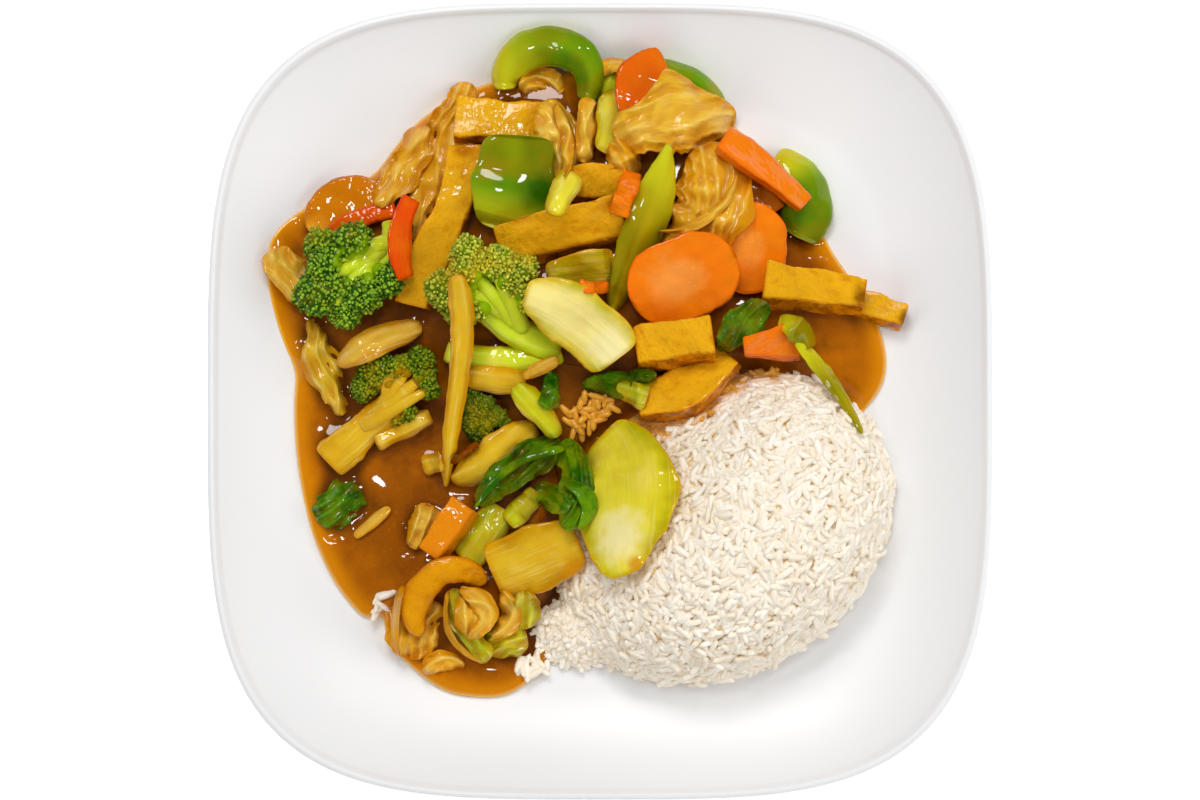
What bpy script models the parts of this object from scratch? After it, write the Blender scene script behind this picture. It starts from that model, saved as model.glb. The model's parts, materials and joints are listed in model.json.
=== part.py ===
"""A plated meal: vegetable and tofu curry beside a dome of rice, on one white plate.

Lengths are millimetres in the tables and become metres when a mesh is made.
+X is the plate's right, +Y its back, +Z up, and the origin is under its middle.

The plate and the rice come first. Each piece of food is then laid on what is already
there: it leans like the ground under it and comes down until it nearly touches. The
sauce comes last and fills the heap from below, up to the pieces.
"""
import math

import bmesh
import bpy
import numpy as np

MM = 0.001
GAP = 0.35

# The plate, a rounded square without a separate rim.
PLATE_HALF = (132.0, 134.0)
PLATE_POWER = 3.7
PLATE_HEIGHT = 24.0
PLATE_FLOOR = 6.0
PLATE_WALL = 4.0
LIP_WALL = 3.0
WELL_REACH = 0.74
RISE_POWER = 1.6
RISE_STATIONS = (0.74, 0.79, 0.84, 0.89, 0.94, 0.985)
FOOT_REACH = (0.535, 0.55, 0.585, 0.60)
PLATE_SIDES = 52

# The rice, a dome turned out of a bowl, lower on the side where the curry leans on it.
RICE_CENTRE = (42.0, -43.0)
RICE_RADII = (61.0, 48.0)
RICE_TURN = math.radians(35)
RICE_HEIGHT = 41.0
RICE_ROUND = 2.6
RICE_STEEP = 0.6
SLUMP_SIDE = (-0.9, 0.45)
SLUMP_REACH = 45.0
SLUMP = 0.5
GRAIN_LENGTH = 7.5
GRAIN_WIDTH = 2.2
RICE_SIDES = 46
RICE_RINGS = 18
RIM_GRAINS = 13
RIM_START = -3.0
RIM_SWEEP = 2.9
RICE_BUMP = 0.022
RICE_FOOT = 1.2
RICE_LIFT = 0.5
RICE_CLEAR = 1.07

# Loose rice beside the dome.
SPILL_CENTRE = (-6.0, -78.0)
SPILL_RADII = (14.0, 10.0, 4.5)

# The sauce: a shallow pool with two mounds in it, where the curry is heaped.
POOL_CENTRE = (-25.0, 15.0)
POOL_EDGE = (
    (97, 6), (96, 26), (78, 52), (56, 84), (26, 104), (-20, 104), (-60, 93), (-76, 76), (-111, 56),
    (-113, 44), (-102, 10), (-100, -32), (-88, -64), (-75, -78), (-52, -100), (-30, -101), (-15, -84),
)
POOL_DEPTH = 3.0
MOUNDS = (
    # centre, radii, height above the pool
    ((-13.0, 45.0), (84.0, 70.0), 11.0),
    ((-43.0, -47.0), (44.0, 38.0), 6.0),
)
SINK = 2.5
STEEPEST = 0.6
CROWN_STEEPEST = 0.4
DRAPE_STEPS = 12
LEAN_TRIES = 17
POOL_SIDES = 44
POOL_RINGS = 11

MAP_CELL = 1.0
MAP_HALF = 140
MAP_SIDE = int(2 * MAP_HALF / MAP_CELL)


# Shapes of cut food: how square the section and the ends are, how the body is bent,
# how far it sags onto what is under it, and how many rings and sides it has.
TOFU = dict(section=6.0, ends=7.0, bow=0.6, cup=0.0, wave=0.5, soft=0.0, rings=7, sides=8)
CARROT = dict(section=6.0, ends=2.1, bow=0.4, cup=0.0, wave=0.3, soft=0.0, rings=8, sides=8)
DIAMOND = dict(section=6.0, ends=1.5, bow=0.4, cup=0.0, wave=0.2, soft=0.0, rings=8, sides=8)
STICK = dict(section=4.5, ends=7.0, bow=0.5, cup=0.0, wave=0.3, soft=0.0, rings=6, sides=8)
PEPPER = dict(section=3.4, ends=5.0, bow=1.0, cup=-2.4, wave=0.5, soft=0.3, rings=8, sides=8)
STEM = dict(section=2.8, ends=3.2, bow=1.0, cup=-1.4, wave=0.6, soft=0.4, rings=8, sides=8)
SLAB = dict(section=3.6, ends=6.0, bow=0.8, cup=-1.2, wave=0.5, soft=0.35, rings=8, sides=8)
LEAF = dict(section=2.2, ends=2.8, bow=0.6, cup=-0.8, wave=2.0, soft=0.9, rings=9, sides=8)
THREAD = dict(section=2.2, ends=3.0, bow=0.4, cup=0.0, wave=0.4, soft=0.9, rings=9, sides=6)

BLUNT = 8.0

# Each row is a piece of food: its name, the line along its middle, its width at those
# points, its thickness and its kind. Rows run from the bottom of the heap to its top.
PIECES = (
    ("golden_round", ((-98, 57), (-86, 66), (-73, 71)), (17, 21, 15), 4.0, CARROT),
    ("cabbage_end", ((-111, 51), (-106, 44), (-96, 35)), (12, 14, 10), 5.0, STEM),
    ("cabbage_strip", ((-98, 28), (-94, 13), (-87, -5)), (8, 13, 8), 2.4, LEAF),
    ("red_sliver", ((-93, 55), (-82, 61), (-69, 65)), (5, 7, 6), 3.5, STICK),
    ("napa_left", ((-62, 54), (-58, 72), (-50, 92), (-45, 108)), (10, 14, 18, 14), 2.4, LEAF),
    ("pepper_back", ((-5, 102), (9, 109), (24, 110), (41, 100)), (9, 10, 10, 7), 4.5, PEPPER),
    ("pepper_curl", ((-32, 105), (-27, 116), (-17, 120), (-7, 116), (-5, 101)), (11, 13, 13, 13, 9), 5, PEPPER),
    ("tan_slice", ((-88, 12), (-75, 20), (-60, 25)), (7, 11, 8), 4.0, STEM),
    ("pepper_right", ((59, 82), (69, 72), (67, 55)), (11, 17, 17), 5.0, PEPPER),
    ("carrot_flat", ((49, 77), (58, 63)), (11, 11), 5.0, STICK),
    ("cabbage_crumple", ((-65, -87), (-60, -66)), (18, 20), 3.0, LEAF),
    ("scallion_bit", ((-96, -40), (-81, -30)), (13, 15), 2.6, LEAF),
    ("cabbage_bit", ((-63, -50), (-57, -35)), (8, 11), 4.0, STEM),
    ("ring_bit", ((-39, -82), (-25, -78)), (13, 14), 6.0, STEM),
    ("cabbage_fork", ((-49, -63), (-46, -77), (-37, -87)), (8, 10, 9), 3.4, STEM),
    ("cabbage_core", ((-43, -79), (-43, -65)), (10, 12), 6.0, STEM),
    ("yellow_plank", ((-45, -54), (-33, -36)), (12, 12), 3.6, SLAB),
    ("carrot_stick", ((-45, -35), (-57, -52)), (13, 11), 8.0, STICK),
    ("golden_band", ((-60, -79), (-61, -65), (-52, -57), (-39, -62)), (9, 10, 10, 9), 5.5, THREAD),
    ("slab_back", ((-49, 95), (-16, 93)), (16, 15), 7.0, TOFU),
    ("napa_frill", ((-20, 100), (-13, 88), (-16, 71)), (14, 17, 10), 3.0, LEAF),
    ("napa_finger", ((-4, 102), (-5, 80)), (8, 7), 5.0, STEM),
    ("onion_petal", ((3, 104), (5, 94), (2, 83)), (9, 13, 10), 3.2, SLAB),
    ("carrot_diamond", ((9, 94), (19, 119)), (19, 19), 5.0, DIAMOND),
    ("tofu_stub", ((84, 34), (103, 28)), (11, 10), 8.0, TOFU),
    ("tofu_back", ((-11, 73), (9, 73)), (13, 15), 8.0, TOFU),
    ("carrot_low", ((50, 67), (50, 36)), (27, 27), 6.0, CARROT),
    ("napa_large", ((5, 88), (26, 95), (46, 96)), (18, 27, 14), 2.6, LEAF),
    ("napa_crumple", ((21, 51), (37, 66), (34, 86)), (14, 28, 22), 3.2, LEAF),
    ("carrot_wedge", ((41, 88), (55, 78), (69, 66)), (11, 11, 7), 8.0, STICK),
    ("tofu_long", ((-45, 86), (-48, 68), (-56, 50), (-63, 32)), (13, 14, 15, 13), 8.0, TOFU),
    ("red_piece", ((-63, 68), (-67, 55), (-65, 41)), (6, 8, 6), 4.0, STICK),
    ("pepper_chunk", ((-33, 57), (-29, 73), (-27, 89)), (22, 28, 26), 6.0, PEPPER),
    ("tofu_centre", ((-34, 51), (-14, 56), (8, 61)), (15, 18, 16), 9.0, TOFU),
    ("onion_wedge", ((-16, 62), (-9, 77)), (8, 10), 4.0, STEM),
    ("celery_plank", ((-18, 42), (5, 45)), (10, 15), 4.0, SLAB),
    ("celery_lens", ((23, 86), (19, 70), (12, 51), (4, 30)), (6, 13, 14, 6), 4.5, STEM),
    ("carrot_top", ((10, 34), (46, 48)), (30, 29), 6.0, CARROT),
    ("tofu_stick", ((55, 39), (89, 35)), (17, 13), 9.0, TOFU),
    ("tofu_bar", ((13, -1), (28, 3), (44, 15)), (13, 18, 11), 9.0, TOFU),
    ("tofu_cube", ((12, 17), (38, 21)), (17, 16), 11.0, TOFU),
    ("dark_leaf", ((40, 17), (48, 26), (57, 32)), (9, 12, 9), 2.2, LEAF),
    ("carrot_fan", ((48, 18), (67, 20)), (7, 15), 4.5, STICK),
    ("pepper_thread", ((66, 20), (78, 6), (88, -11)), (6, 5, 3), 2.4, THREAD),
    ("napa_stem", ((-25, 36), (-10, 29), (6, 14)), (12, 22, 20), 5.0, SLAB),
    ("yellow_slice", ((-50, -27), (-35, -19), (-22, -8)), (8, 16, 12), 4.0, STEM),
    ("bokchoy_base", ((-36, -59), (-7, -47)), (24, 20), 6.0, SLAB),
    ("bokchoy_stem", ((1, -11), (8, -28), (7, -42), (9, -58)), (22, 37, 31, 14), 8.0, SLAB),
    ("bokchoy_leaf", ((-13, -14), (-27, -22), (-41, -35)), (13, 12, 10), 2.4, LEAF),
    ("bokchoy_lobe", ((-12, -43), (-8, -27), (-12, -13)), (10, 12, 10), 3.0, LEAF),
    ("yellow_strip", ((-44, 8), (-25, 6)), (9, 9), 4.0, SLAB),
    ("green_stalk", ((-29, 5), (-21, -3), (-14, -12)), (9, 9, 7), 5.0, THREAD),
    ("long_strip", ((-48, 42), (-46, 24), (-48, 2), (-52, -29)), (11, 8, 7, 4), 4.0, THREAD),
)

# Each broccoli: middle of its crown, radii of the crown, its bumps, and its stems as
# lines with a width at each point.
BROCCOLI = {
    "broccoli_left": ((-85, 43), (19, 17, 9), 8, (((-69, 61), (-71, 49), (-80, 43)), (9, 9, 7)), None),
    "broccoli_lower": ((-68, 6), (16, 12, 9), 7, (((-92, -21), (-80, -10), (-68, 0)), (14, 12, 10)),
                       (((-76, -14), (-66, -9), (-57, -5)), (7, 7, 6))),
    "broccoli_small": ((-40, -5), (9, 9, 6), 5, None, None),
    "broccoli_centre": ((-40, 39), (20, 15, 9), 8, (((-42, 38), (-33, 27), (-13, 18)), (10, 11, 11)),
                        (((-52, 17), (-33, 14), (-13, 17)), (8, 9, 10))),
}
CROWN_BUMP = 0.45
STEM_THICK = 7.0

# The broccoli are laid just before these pieces.
LAID_BEFORE = {
    "broccoli_left": "red_piece",
    "broccoli_lower": "napa_left",
    "broccoli_small": "napa_left",
    "broccoli_centre": "celery_plank",
}

COLOURS = {
    "plate": ((0.86, 0.86, 0.85), 0.12),
    "rice": ((0.86, 0.82, 0.73), 0.5),
    "sauce": ((0.52, 0.20, 0.012), 0.2),
    "carrot": ((0.95, 0.24, 0.012), 0.25),
    "tofu": ((0.80, 0.40, 0.045), 0.35),
    "pepper": ((0.10, 0.24, 0.012), 0.2),
    "broccoli": ((0.10, 0.25, 0.02), 0.5),
    "cabbage": ((0.82, 0.52, 0.14), 0.25),
    "stem": ((0.62, 0.55, 0.05), 0.25),
    "leaf": ((0.05, 0.14, 0.01), 0.3),
}
FINISH = {
    "carrot": ("golden_round", "red_sliver", "carrot_flat", "carrot_stick", "carrot_diamond", "carrot_low",
               "carrot_wedge", "red_piece", "carrot_top", "carrot_fan"),
    "tofu": ("slab_back", "tofu_stub", "tofu_back", "tofu_long", "tofu_centre", "tofu_stick", "tofu_bar",
             "tofu_cube", "tan_slice", "yellow_slice", "golden_band"),
    "pepper": ("pepper_back", "pepper_curl", "pepper_right", "pepper_chunk", "pepper_thread", "celery_lens",
               "green_stalk"),
    "stem": ("yellow_plank", "celery_plank", "bokchoy_base", "bokchoy_stem", "yellow_strip", "long_strip",
             "ring_bit", "bokchoy_lobe"),
    "leaf": ("scallion_bit", "dark_leaf", "bokchoy_leaf"),
}


def finish_of(name):
    """The kind of food that gives a piece its colour."""
    if name in COLOURS:
        return name
    if name in BROCCOLI:
        return "broccoli"
    for kind, names in FINISH.items():
        if name in names:
            return kind
    return "cabbage"


def material(name):
    colour, roughness = COLOURS[finish_of(name)]
    made = bpy.data.materials.new(name)
    made.use_nodes = True
    shader = made.node_tree.nodes["Principled BSDF"]
    shader.inputs["Base Color"].default_value = (*colour, 1.0)
    shader.inputs["Roughness"].default_value = roughness
    shader.inputs["Metallic"].default_value = 0.0
    return made


def mesh_from(name, points, faces):
    """A mesh in metres from points in millimetres."""
    mesh = bpy.data.meshes.new(name)
    mesh.from_pydata((np.asarray(points) * MM).tolist(), [], [tuple(map(int, face)) for face in faces])
    mesh.validate()
    return mesh


def add_object(name, points, faces, smooth_angle=50):
    """An object whose origin is the middle of its box, with its material."""
    points = np.asarray(points, float)
    middle = (points.min(axis=0) + points.max(axis=0)) / 2
    mesh = mesh_from(name, points - middle, faces)
    mesh.shade_smooth()
    mesh.set_sharp_from_angle(angle=math.radians(smooth_angle))
    mesh.materials.append(material(name))
    thing = bpy.data.objects.new(name, mesh)
    thing.location = (middle * MM).tolist()
    bpy.context.scene.collection.objects.link(thing)
    return thing


def ring_faces(rings, sides, start=0, alike=False):
    """Triangles between closed rings that follow each other; alike gives the lower half of
    each ring the mirrored diagonal, so that a thin body's two faces are split the same way."""
    faces = []
    for ring in range(rings - 1):
        for side in range(sides):
            a = start + ring * sides + side
            b = start + ring * sides + (side + 1) % sides
            c, d = b + sides, a + sides
            if alike and side >= sides // 2:
                faces += [(a, b, d), (b, c, d)]
            else:
                faces += [(a, b, c), (a, c, d)]
    return faces


def fan_faces(pole, ring_start, sides, flip=False):
    """Triangles from a pole to one ring."""
    faces = []
    for side in range(sides):
        a = ring_start + side
        b = ring_start + (side + 1) % sides
        faces.append((pole, a, b) if flip else (pole, b, a))
    return faces


def smooth_step(value):
    value = np.clip(value, 0.0, 1.0)
    return value * value * (3 - 2 * value)


# The plate

def plate_reach(x, y):
    """How far out a point lies: 0 at the plate's middle and 1 at its edge."""
    across = (np.abs(x) / PLATE_HALF[0]) ** PLATE_POWER
    along = (np.abs(y) / PLATE_HALF[1]) ** PLATE_POWER
    return (across + along) ** (1 / PLATE_POWER)


def rise_at(reach):
    """Height of the plate's upper face: a flat well, then a curve that steepens to the lip."""
    rise = np.clip((np.asarray(reach) - WELL_REACH) / (1 - WELL_REACH), 0, 1) ** RISE_POWER
    return PLATE_FLOOR + (PLATE_HEIGHT - PLATE_FLOOR) * rise


def plate_top(x, y):
    """Height of the plate's faceted upper face, read along the same stations as its rings."""
    stations = (0.0,) + RISE_STATIONS + (1.0,)
    return np.interp(plate_reach(x, y), stations, rise_at(stations))


def make_plate():
    """Rounded-square rings carried along the plate's section, from the well round the lip to the foot."""
    section = [(reach, float(rise_at(reach))) for reach in RISE_STATIONS]
    section += [(0.994, PLATE_HEIGHT), (1.0, PLATE_HEIGHT - 0.9), (0.993, PLATE_HEIGHT - 2.0)]
    section += [(reach, float(rise_at(reach)) - LIP_WALL) for reach in (0.93, 0.85)]
    under = PLATE_FLOOR - PLATE_WALL
    section += [(0.76, under + 0.4), (FOOT_REACH[3], under), (FOOT_REACH[2], 0.0)]
    section += [(FOOT_REACH[1], 0.0), (FOOT_REACH[0], under)]
    turn = np.arange(PLATE_SIDES) * 2 * math.pi / PLATE_SIDES
    edge = 1 / plate_reach(np.cos(turn), np.sin(turn))
    outline = np.stack([edge * np.cos(turn), edge * np.sin(turn)], axis=1)
    points = [(0.0, 0.0, PLATE_FLOOR)]
    for reach, height in section:
        points += [(x, y, height) for x, y in outline * reach]
    points.append((0.0, 0.0, under))
    faces = fan_faces(0, 1, PLATE_SIDES, flip=True)
    faces += [face[::-1] for face in ring_faces(len(section), PLATE_SIDES, start=1)]
    faces += fan_faces(len(points) - 1, 1 + (len(section) - 1) * PLATE_SIDES, PLATE_SIDES)
    return add_object("plate", points, faces, smooth_angle=40)


# Unions

def union(name, shapes):
    """One closed body from several overlapping ones."""
    group = bpy.data.collections.new(name + "_parts")
    parts = [bpy.data.objects.new(name + "_part", mesh_from(name, *shape)) for shape in shapes]
    for part in parts[1:]:
        group.objects.link(part)
    bpy.context.scene.collection.objects.link(parts[0])
    join = parts[0].modifiers.new("join", "BOOLEAN")
    join.operation = "UNION"
    join.operand_type = "COLLECTION"
    join.collection = group
    join.solver = "EXACT"
    view = bpy.context.evaluated_depsgraph_get()
    joined = bpy.data.meshes.new_from_object(parts[0].evaluated_get(view))
    for part in parts:
        bpy.data.objects.remove(part)
    bpy.data.collections.remove(group)
    work = bmesh.new()
    work.from_mesh(joined)
    bmesh.ops.remove_doubles(work, verts=work.verts, dist=0.00002)
    bmesh.ops.triangulate(work, faces=work.faces)
    points = np.array([vertex.co[:] for vertex in work.verts]) / MM
    faces = [tuple(vertex.index for vertex in face.verts) for face in work.faces]
    work.free()
    return points, faces


def largest_part(points, faces):
    """The body with most points, without loose scraps."""
    parent = list(range(len(points)))

    def root(index):
        while parent[index] != index:
            parent[index] = parent[parent[index]]
            index = parent[index]
        return index

    for a, b, c in faces:
        parent[root(a)] = root(b)
        parent[root(b)] = root(c)
    roots = np.array([root(index) for index in range(len(points))])
    best = np.bincount(roots).argmax()
    keep = np.flatnonzero(roots == best)
    place = {int(old): new for new, old in enumerate(keep)}
    return points[keep], [tuple(place[i] for i in face) for face in faces if face[0] in place]


def ball(centre, radii, sides=8, rings=5):
    """A round body: rings between two poles."""
    points = [(0.0, 0.0, 1.0)]
    for ring in range(1, rings):
        fall = math.pi * ring / rings
        for side in range(sides):
            turn = 2 * math.pi * (side + 0.5 * (ring % 2)) / sides
            points.append((math.sin(fall) * math.cos(turn), math.sin(fall) * math.sin(turn), math.cos(fall)))
    points.append((0.0, 0.0, -1.0))
    faces = fan_faces(0, 1, sides, flip=True)
    faces += [face[::-1] for face in ring_faces(rings - 1, sides, start=1)]
    faces += fan_faces(len(points) - 1, 1 + (rings - 2) * sides, sides)
    return np.array(points) * radii + centre, faces


# Cut food

def along(line, part):
    """Points on a smooth curve through a line's points, and its direction there."""
    line = np.asarray(line, float)
    steps = np.hypot(*np.diff(line, axis=0).T)
    place = np.concatenate([[0.0], np.cumsum(steps)]) / steps.sum()
    power = min(len(line) - 1, 3)
    curves = [np.polyfit(place, line[:, axis], power) for axis in (0, 1)]
    spot = np.stack([np.polyval(curve, part) for curve in curves], axis=-1)
    way = np.stack([np.polyval(np.polyder(curve), part) for curve in curves], axis=-1)
    return spot, way / np.linalg.norm(way, axis=-1, keepdims=True), place


def food_body(line, widths, thick, kind, seed):
    """A bent, rounded bar: at each point of the line stands a rounded-square section, as wide and
    thick as given. Its width narrows at both ends by the same rounded-square rule, and its thickness
    does so only at the very ends. Its middle is raised by a bow along the line, a cup across it,
    and slow waves."""
    rings, sides = kind["rings"], kind["sides"]
    part = 0.5 - 0.5 * np.cos(np.pi * np.arange(1, rings) / rings)
    spot, way, place = along(line, part)
    full = (1 - np.abs(2 * part - 1) ** kind["ends"]) ** (1 / kind["ends"])
    turn = 2 * np.pi * np.arange(sides) / sides
    across = np.sign(np.cos(turn)) * np.abs(np.cos(turn)) ** (2 / kind["section"])
    above = np.sign(np.sin(turn)) * np.abs(np.sin(turn)) ** (2 / kind["section"])
    phase = 1.7 * seed
    uneven = 1 + 0.05 * np.sin(9 * part + phase)
    half = np.interp(part, place, widths) / 2 * full * uneven
    side_way = np.stack([-way[:, 1], way[:, 0]], axis=1)
    flat = spot[:, None, :] + side_way[:, None, :] * (half[:, None] * across[None, :])[..., None]
    middle = raised(part[:, None], across[None, :], kind, phase)
    blunt = (1 - np.abs(2 * part - 1) ** BLUNT) ** (1 / BLUNT)
    height = thick / 2 * blunt[:, None] * above[None, :] + middle
    body = np.concatenate([flat, height[..., None]], axis=2).reshape(-1, 3)
    ends, _, _ = along(line, np.array([0.0, 1.0]))
    caps = [(*ends[i], raised(float(i), 0.0, kind, phase)) for i in (0, 1)]
    points = np.concatenate([body, np.array(caps)])
    faces = ring_faces(rings - 1, sides, alike=True)
    faces += fan_faces(len(points) - 2, 0, sides)
    faces += fan_faces(len(points) - 1, (rings - 2) * sides, sides, flip=True)
    return points, faces


def raised(part, across, kind, phase):
    """Height of a piece's middle face: bow, cup and two crossing waves."""
    bow = kind["bow"] * (1 - (2 * part - 1) ** 2)
    cup = kind["cup"] * across ** 2
    wave = np.sin(8.5 * part + phase) * np.cos(2.2 * across + 0.7 * phase)
    fine = np.sin(14 * part + 2.3 * phase) * np.sin(3.1 * across + phase)
    return bow + cup + kind["wave"] * (0.65 * wave + 0.35 * fine)


def broccoli_body(name):
    """A crown of round bumps on a flattened ball, with its stems."""
    centre, radii, bumps, *stems = BROCCOLI[name]
    radii = np.array(radii, float)
    middle = np.array([*centre, 0.0])
    shapes = [ball(middle, radii * 0.86, sides=10, rings=5)]
    golden = math.pi * (3 - math.sqrt(5))
    for bump in range(bumps):
        height = 1 - (bump + 0.5) / bumps
        level = math.sqrt(1 - height * height)
        turn = golden * bump + len(name)
        away = np.array([level * math.cos(turn), level * math.sin(turn), height])
        size = CROWN_BUMP * radii.mean() * (1 + 0.15 * math.sin(5 * bump))
        shapes.append(ball(middle + away * radii * 0.72, np.full(3, size), sides=6, rings=4))
    for count, stem in enumerate(stem for stem in stems if stem):
        line, widths = stem
        kind = dict(STEM, cup=0.0, bow=0.5, wave=0.2, rings=6, sides=6)
        points, faces = food_body(line, widths, STEM_THICK, kind, count)
        points[:, 2] -= radii[2] * 0.1
        shapes.append((points, faces))
    return largest_part(*union(name, shapes))


# Laying the food

def spread(points, faces, count=9):
    """Points spread evenly over every triangle."""
    steps = [(i, j, count - i - j) for i in range(count + 1) for j in range(count + 1 - i)]
    weights = np.array(steps) / count
    corners = np.asarray(points)[np.asarray(faces)]
    return np.einsum("wc,fcx->fwx", weights, corners).reshape(-1, 3)


def cell_of(xy):
    return np.clip(((xy + MAP_HALF) / MAP_CELL).astype(int), 0, MAP_SIDE - 1)


def cell_heights(points, faces, lowest):
    """The cells of the map that a body covers, and its lowest or highest height in each."""
    found = spread(points, faces)
    cells = cell_of(found[:, :2])
    flat = cells[:, 0] * MAP_SIDE + cells[:, 1]
    heights = np.full(MAP_SIDE * MAP_SIDE, np.inf if lowest else -np.inf)
    (np.minimum if lowest else np.maximum).at(heights, flat, found[:, 2])
    used = np.flatnonzero(np.isfinite(heights))
    return used, heights[used]


def map_centres():
    line = (np.arange(MAP_SIDE) + 0.5) * MAP_CELL - MAP_HALF
    return np.meshgrid(line, line, indexing="ij")


def mound_top(x, y):
    """Height of the sauce: the pool over the plate's floor, and the mounds in it."""
    level = np.maximum(plate_top(x, y) + 0.8, PLATE_FLOOR + POOL_DEPTH)
    for centre, radii, height in MOUNDS:
        away = ((x - centre[0]) / radii[0]) ** 2 + ((y - centre[1]) / radii[1]) ** 2
        level = level + height * np.clip(1 - away, 0, 1) ** 1.1
    return level


def pool_edge(turn):
    """Distance from the pool's middle to its edge in each direction, kept clear of the rice."""
    edge = np.array(POOL_EDGE, float) - POOL_CENTRE
    angle = np.arctan2(edge[:, 1], edge[:, 0])
    order = np.argsort(angle)
    reach = np.interp(turn, angle[order], np.hypot(*edge.T)[order], period=2 * math.pi)
    steps = np.linspace(0, 1, 260)[:, None]
    x = POOL_CENTRE[0] + steps * reach * np.cos(turn)
    y = POOL_CENTRE[1] + steps * reach * np.sin(turn)
    clear = (rice_reach(x, y) > RICE_CLEAR) & (spill_reach(x, y) > RICE_CLEAR)
    first = np.where(clear.all(axis=0), len(steps) - 1, np.argmin(clear, axis=0) - 1)
    return reach * steps[np.maximum(first, 1), 0]


class Ground:
    """Height of all that is laid so far, and of the lowest food over each spot."""

    def __init__(self):
        x, y = map_centres()
        self.x, self.y = x.ravel(), y.ravel()
        turn = np.arctan2(self.y - POOL_CENTRE[1], self.x - POOL_CENTRE[0])
        away = np.hypot(self.x - POOL_CENTRE[0], self.y - POOL_CENTRE[1])
        wet = away < pool_edge(turn)
        floor = plate_top(self.x, self.y)
        heaped = np.maximum(mound_top(self.x, self.y) - SINK, floor + 1.6)
        self.top = np.where(wet, heaped, floor)
        self.ceiling = np.full(self.top.shape, np.inf)

    def cover(self, points, faces):
        cells, heights = cell_heights(points, faces, lowest=False)
        self.top[cells] = np.maximum(self.top[cells], heights)

    def sag(self, points, rings, sides, soft):
        """How far each ring of a soft body follows the ground under it. A line pulled taut over
        the ground's bumps gives the shape, as a strip lies over what carries it."""
        ring = points[:rings * sides].reshape(rings, sides, 3)
        mix = np.linspace(0, 1, 7)[:, None, None]
        span = ring[:, None, 0, :2] * (1 - mix[None, :, 0]) + ring[:, None, sides // 2, :2] * mix[None, :, 0]
        cells = cell_of(span)
        under = self.top[cells[..., 0] * MAP_SIDE + cells[..., 1]].max(axis=1)
        line = under.copy()
        for _ in range(DRAPE_STEPS):
            middle = (line[:-2] + line[2:]) / 2
            line[1:-1] = np.maximum(under[1:-1], middle)
        return soft * (line - line.mean())

    def lay(self, points, faces, steepest, form=None):
        """Let a soft body sag, lean it the way that lets its middle come lowest, and bring it down
        until the gap is left. A piece of cut food has a form: its rings, sides and softness."""
        laid = np.array(points)
        if form and form[2] > 0:
            rings, sides, soft = form
            drop = self.sag(laid, rings, sides, soft)
            laid[:rings * sides, 2] += np.repeat(drop, sides)
            laid[-2:, 2] += drop[[0, -1]]
        cells, low = cell_heights(laid, faces, lowest=True)
        spots = np.stack([self.x[cells], self.y[cells]], axis=1)
        middle = spots.mean(axis=0)
        tries = np.linspace(-steepest, steepest, LEAN_TRIES)
        leans = np.stack(np.meshgrid(tries, tries), axis=2).reshape(-1, 2)
        lifts = (self.top[cells] - low - leans @ (spots - middle).T).max(axis=1)
        best = lifts.argmin()
        laid[:, 2] += (laid[:, :2] - middle) @ leans[best] + lifts[best] + GAP
        cells, low = cell_heights(laid, faces, lowest=True)
        laid[:, 2] += max(0.0, (self.top[cells] - low).max() + GAP)
        self.cover(laid, faces)
        self.ceiling[cells] = np.minimum(self.ceiling[cells], low)
        return laid


# Rice and sauce

def rice_reach(x, y):
    """0 in the middle of the rice and 1 at its foot."""
    away_x, away_y = x - RICE_CENTRE[0], y - RICE_CENTRE[1]
    u = away_x * math.cos(RICE_TURN) + away_y * math.sin(RICE_TURN)
    v = -away_x * math.sin(RICE_TURN) + away_y * math.cos(RICE_TURN)
    return np.hypot(u / RICE_RADII[0], v / RICE_RADII[1])


def spill_reach(x, y):
    """0 in the middle of the loose rice and 1 at its edge."""
    return np.hypot((x - SPILL_CENTRE[0]) / SPILL_RADII[0], (y - SPILL_CENTRE[1]) / SPILL_RADII[1])


def rice_top(x, y):
    """A steep-sided dome, slumped towards the curry."""
    reach = np.clip(rice_reach(x, y), 0, 1)
    dome = RICE_HEIGHT * (1 - reach ** RICE_ROUND) ** RICE_STEEP
    side = (x - RICE_CENTRE[0]) * SLUMP_SIDE[0] + (y - RICE_CENTRE[1]) * SLUMP_SIDE[1]
    return plate_top(x, y) + RICE_FOOT + dome * (1 - SLUMP * smooth_step(side / SLUMP_REACH))


def rice_spot(part, turn):
    """The spot that is part of the way from the rice's middle to its foot."""
    u = part * np.cos(turn) * RICE_RADII[0]
    v = part * np.sin(turn) * RICE_RADII[1]
    x = RICE_CENTRE[0] + u * math.cos(RICE_TURN) - v * math.sin(RICE_TURN)
    y = RICE_CENTRE[1] + u * math.sin(RICE_TURN) + v * math.cos(RICE_TURN)
    return x, y


def even_parts(rings):
    """Distances from the middle that cut the dome's curve into equal lengths."""
    part = np.sin(np.linspace(0, math.pi / 2, 400))
    height = RICE_HEIGHT * (1 - part ** RICE_ROUND) ** RICE_STEEP
    length = np.hypot(np.diff(part * RICE_RADII[0]), np.diff(height)).cumsum()
    return np.interp(np.arange(1, rings + 1) / rings, np.append(0, length) / length[-1], part)


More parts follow.
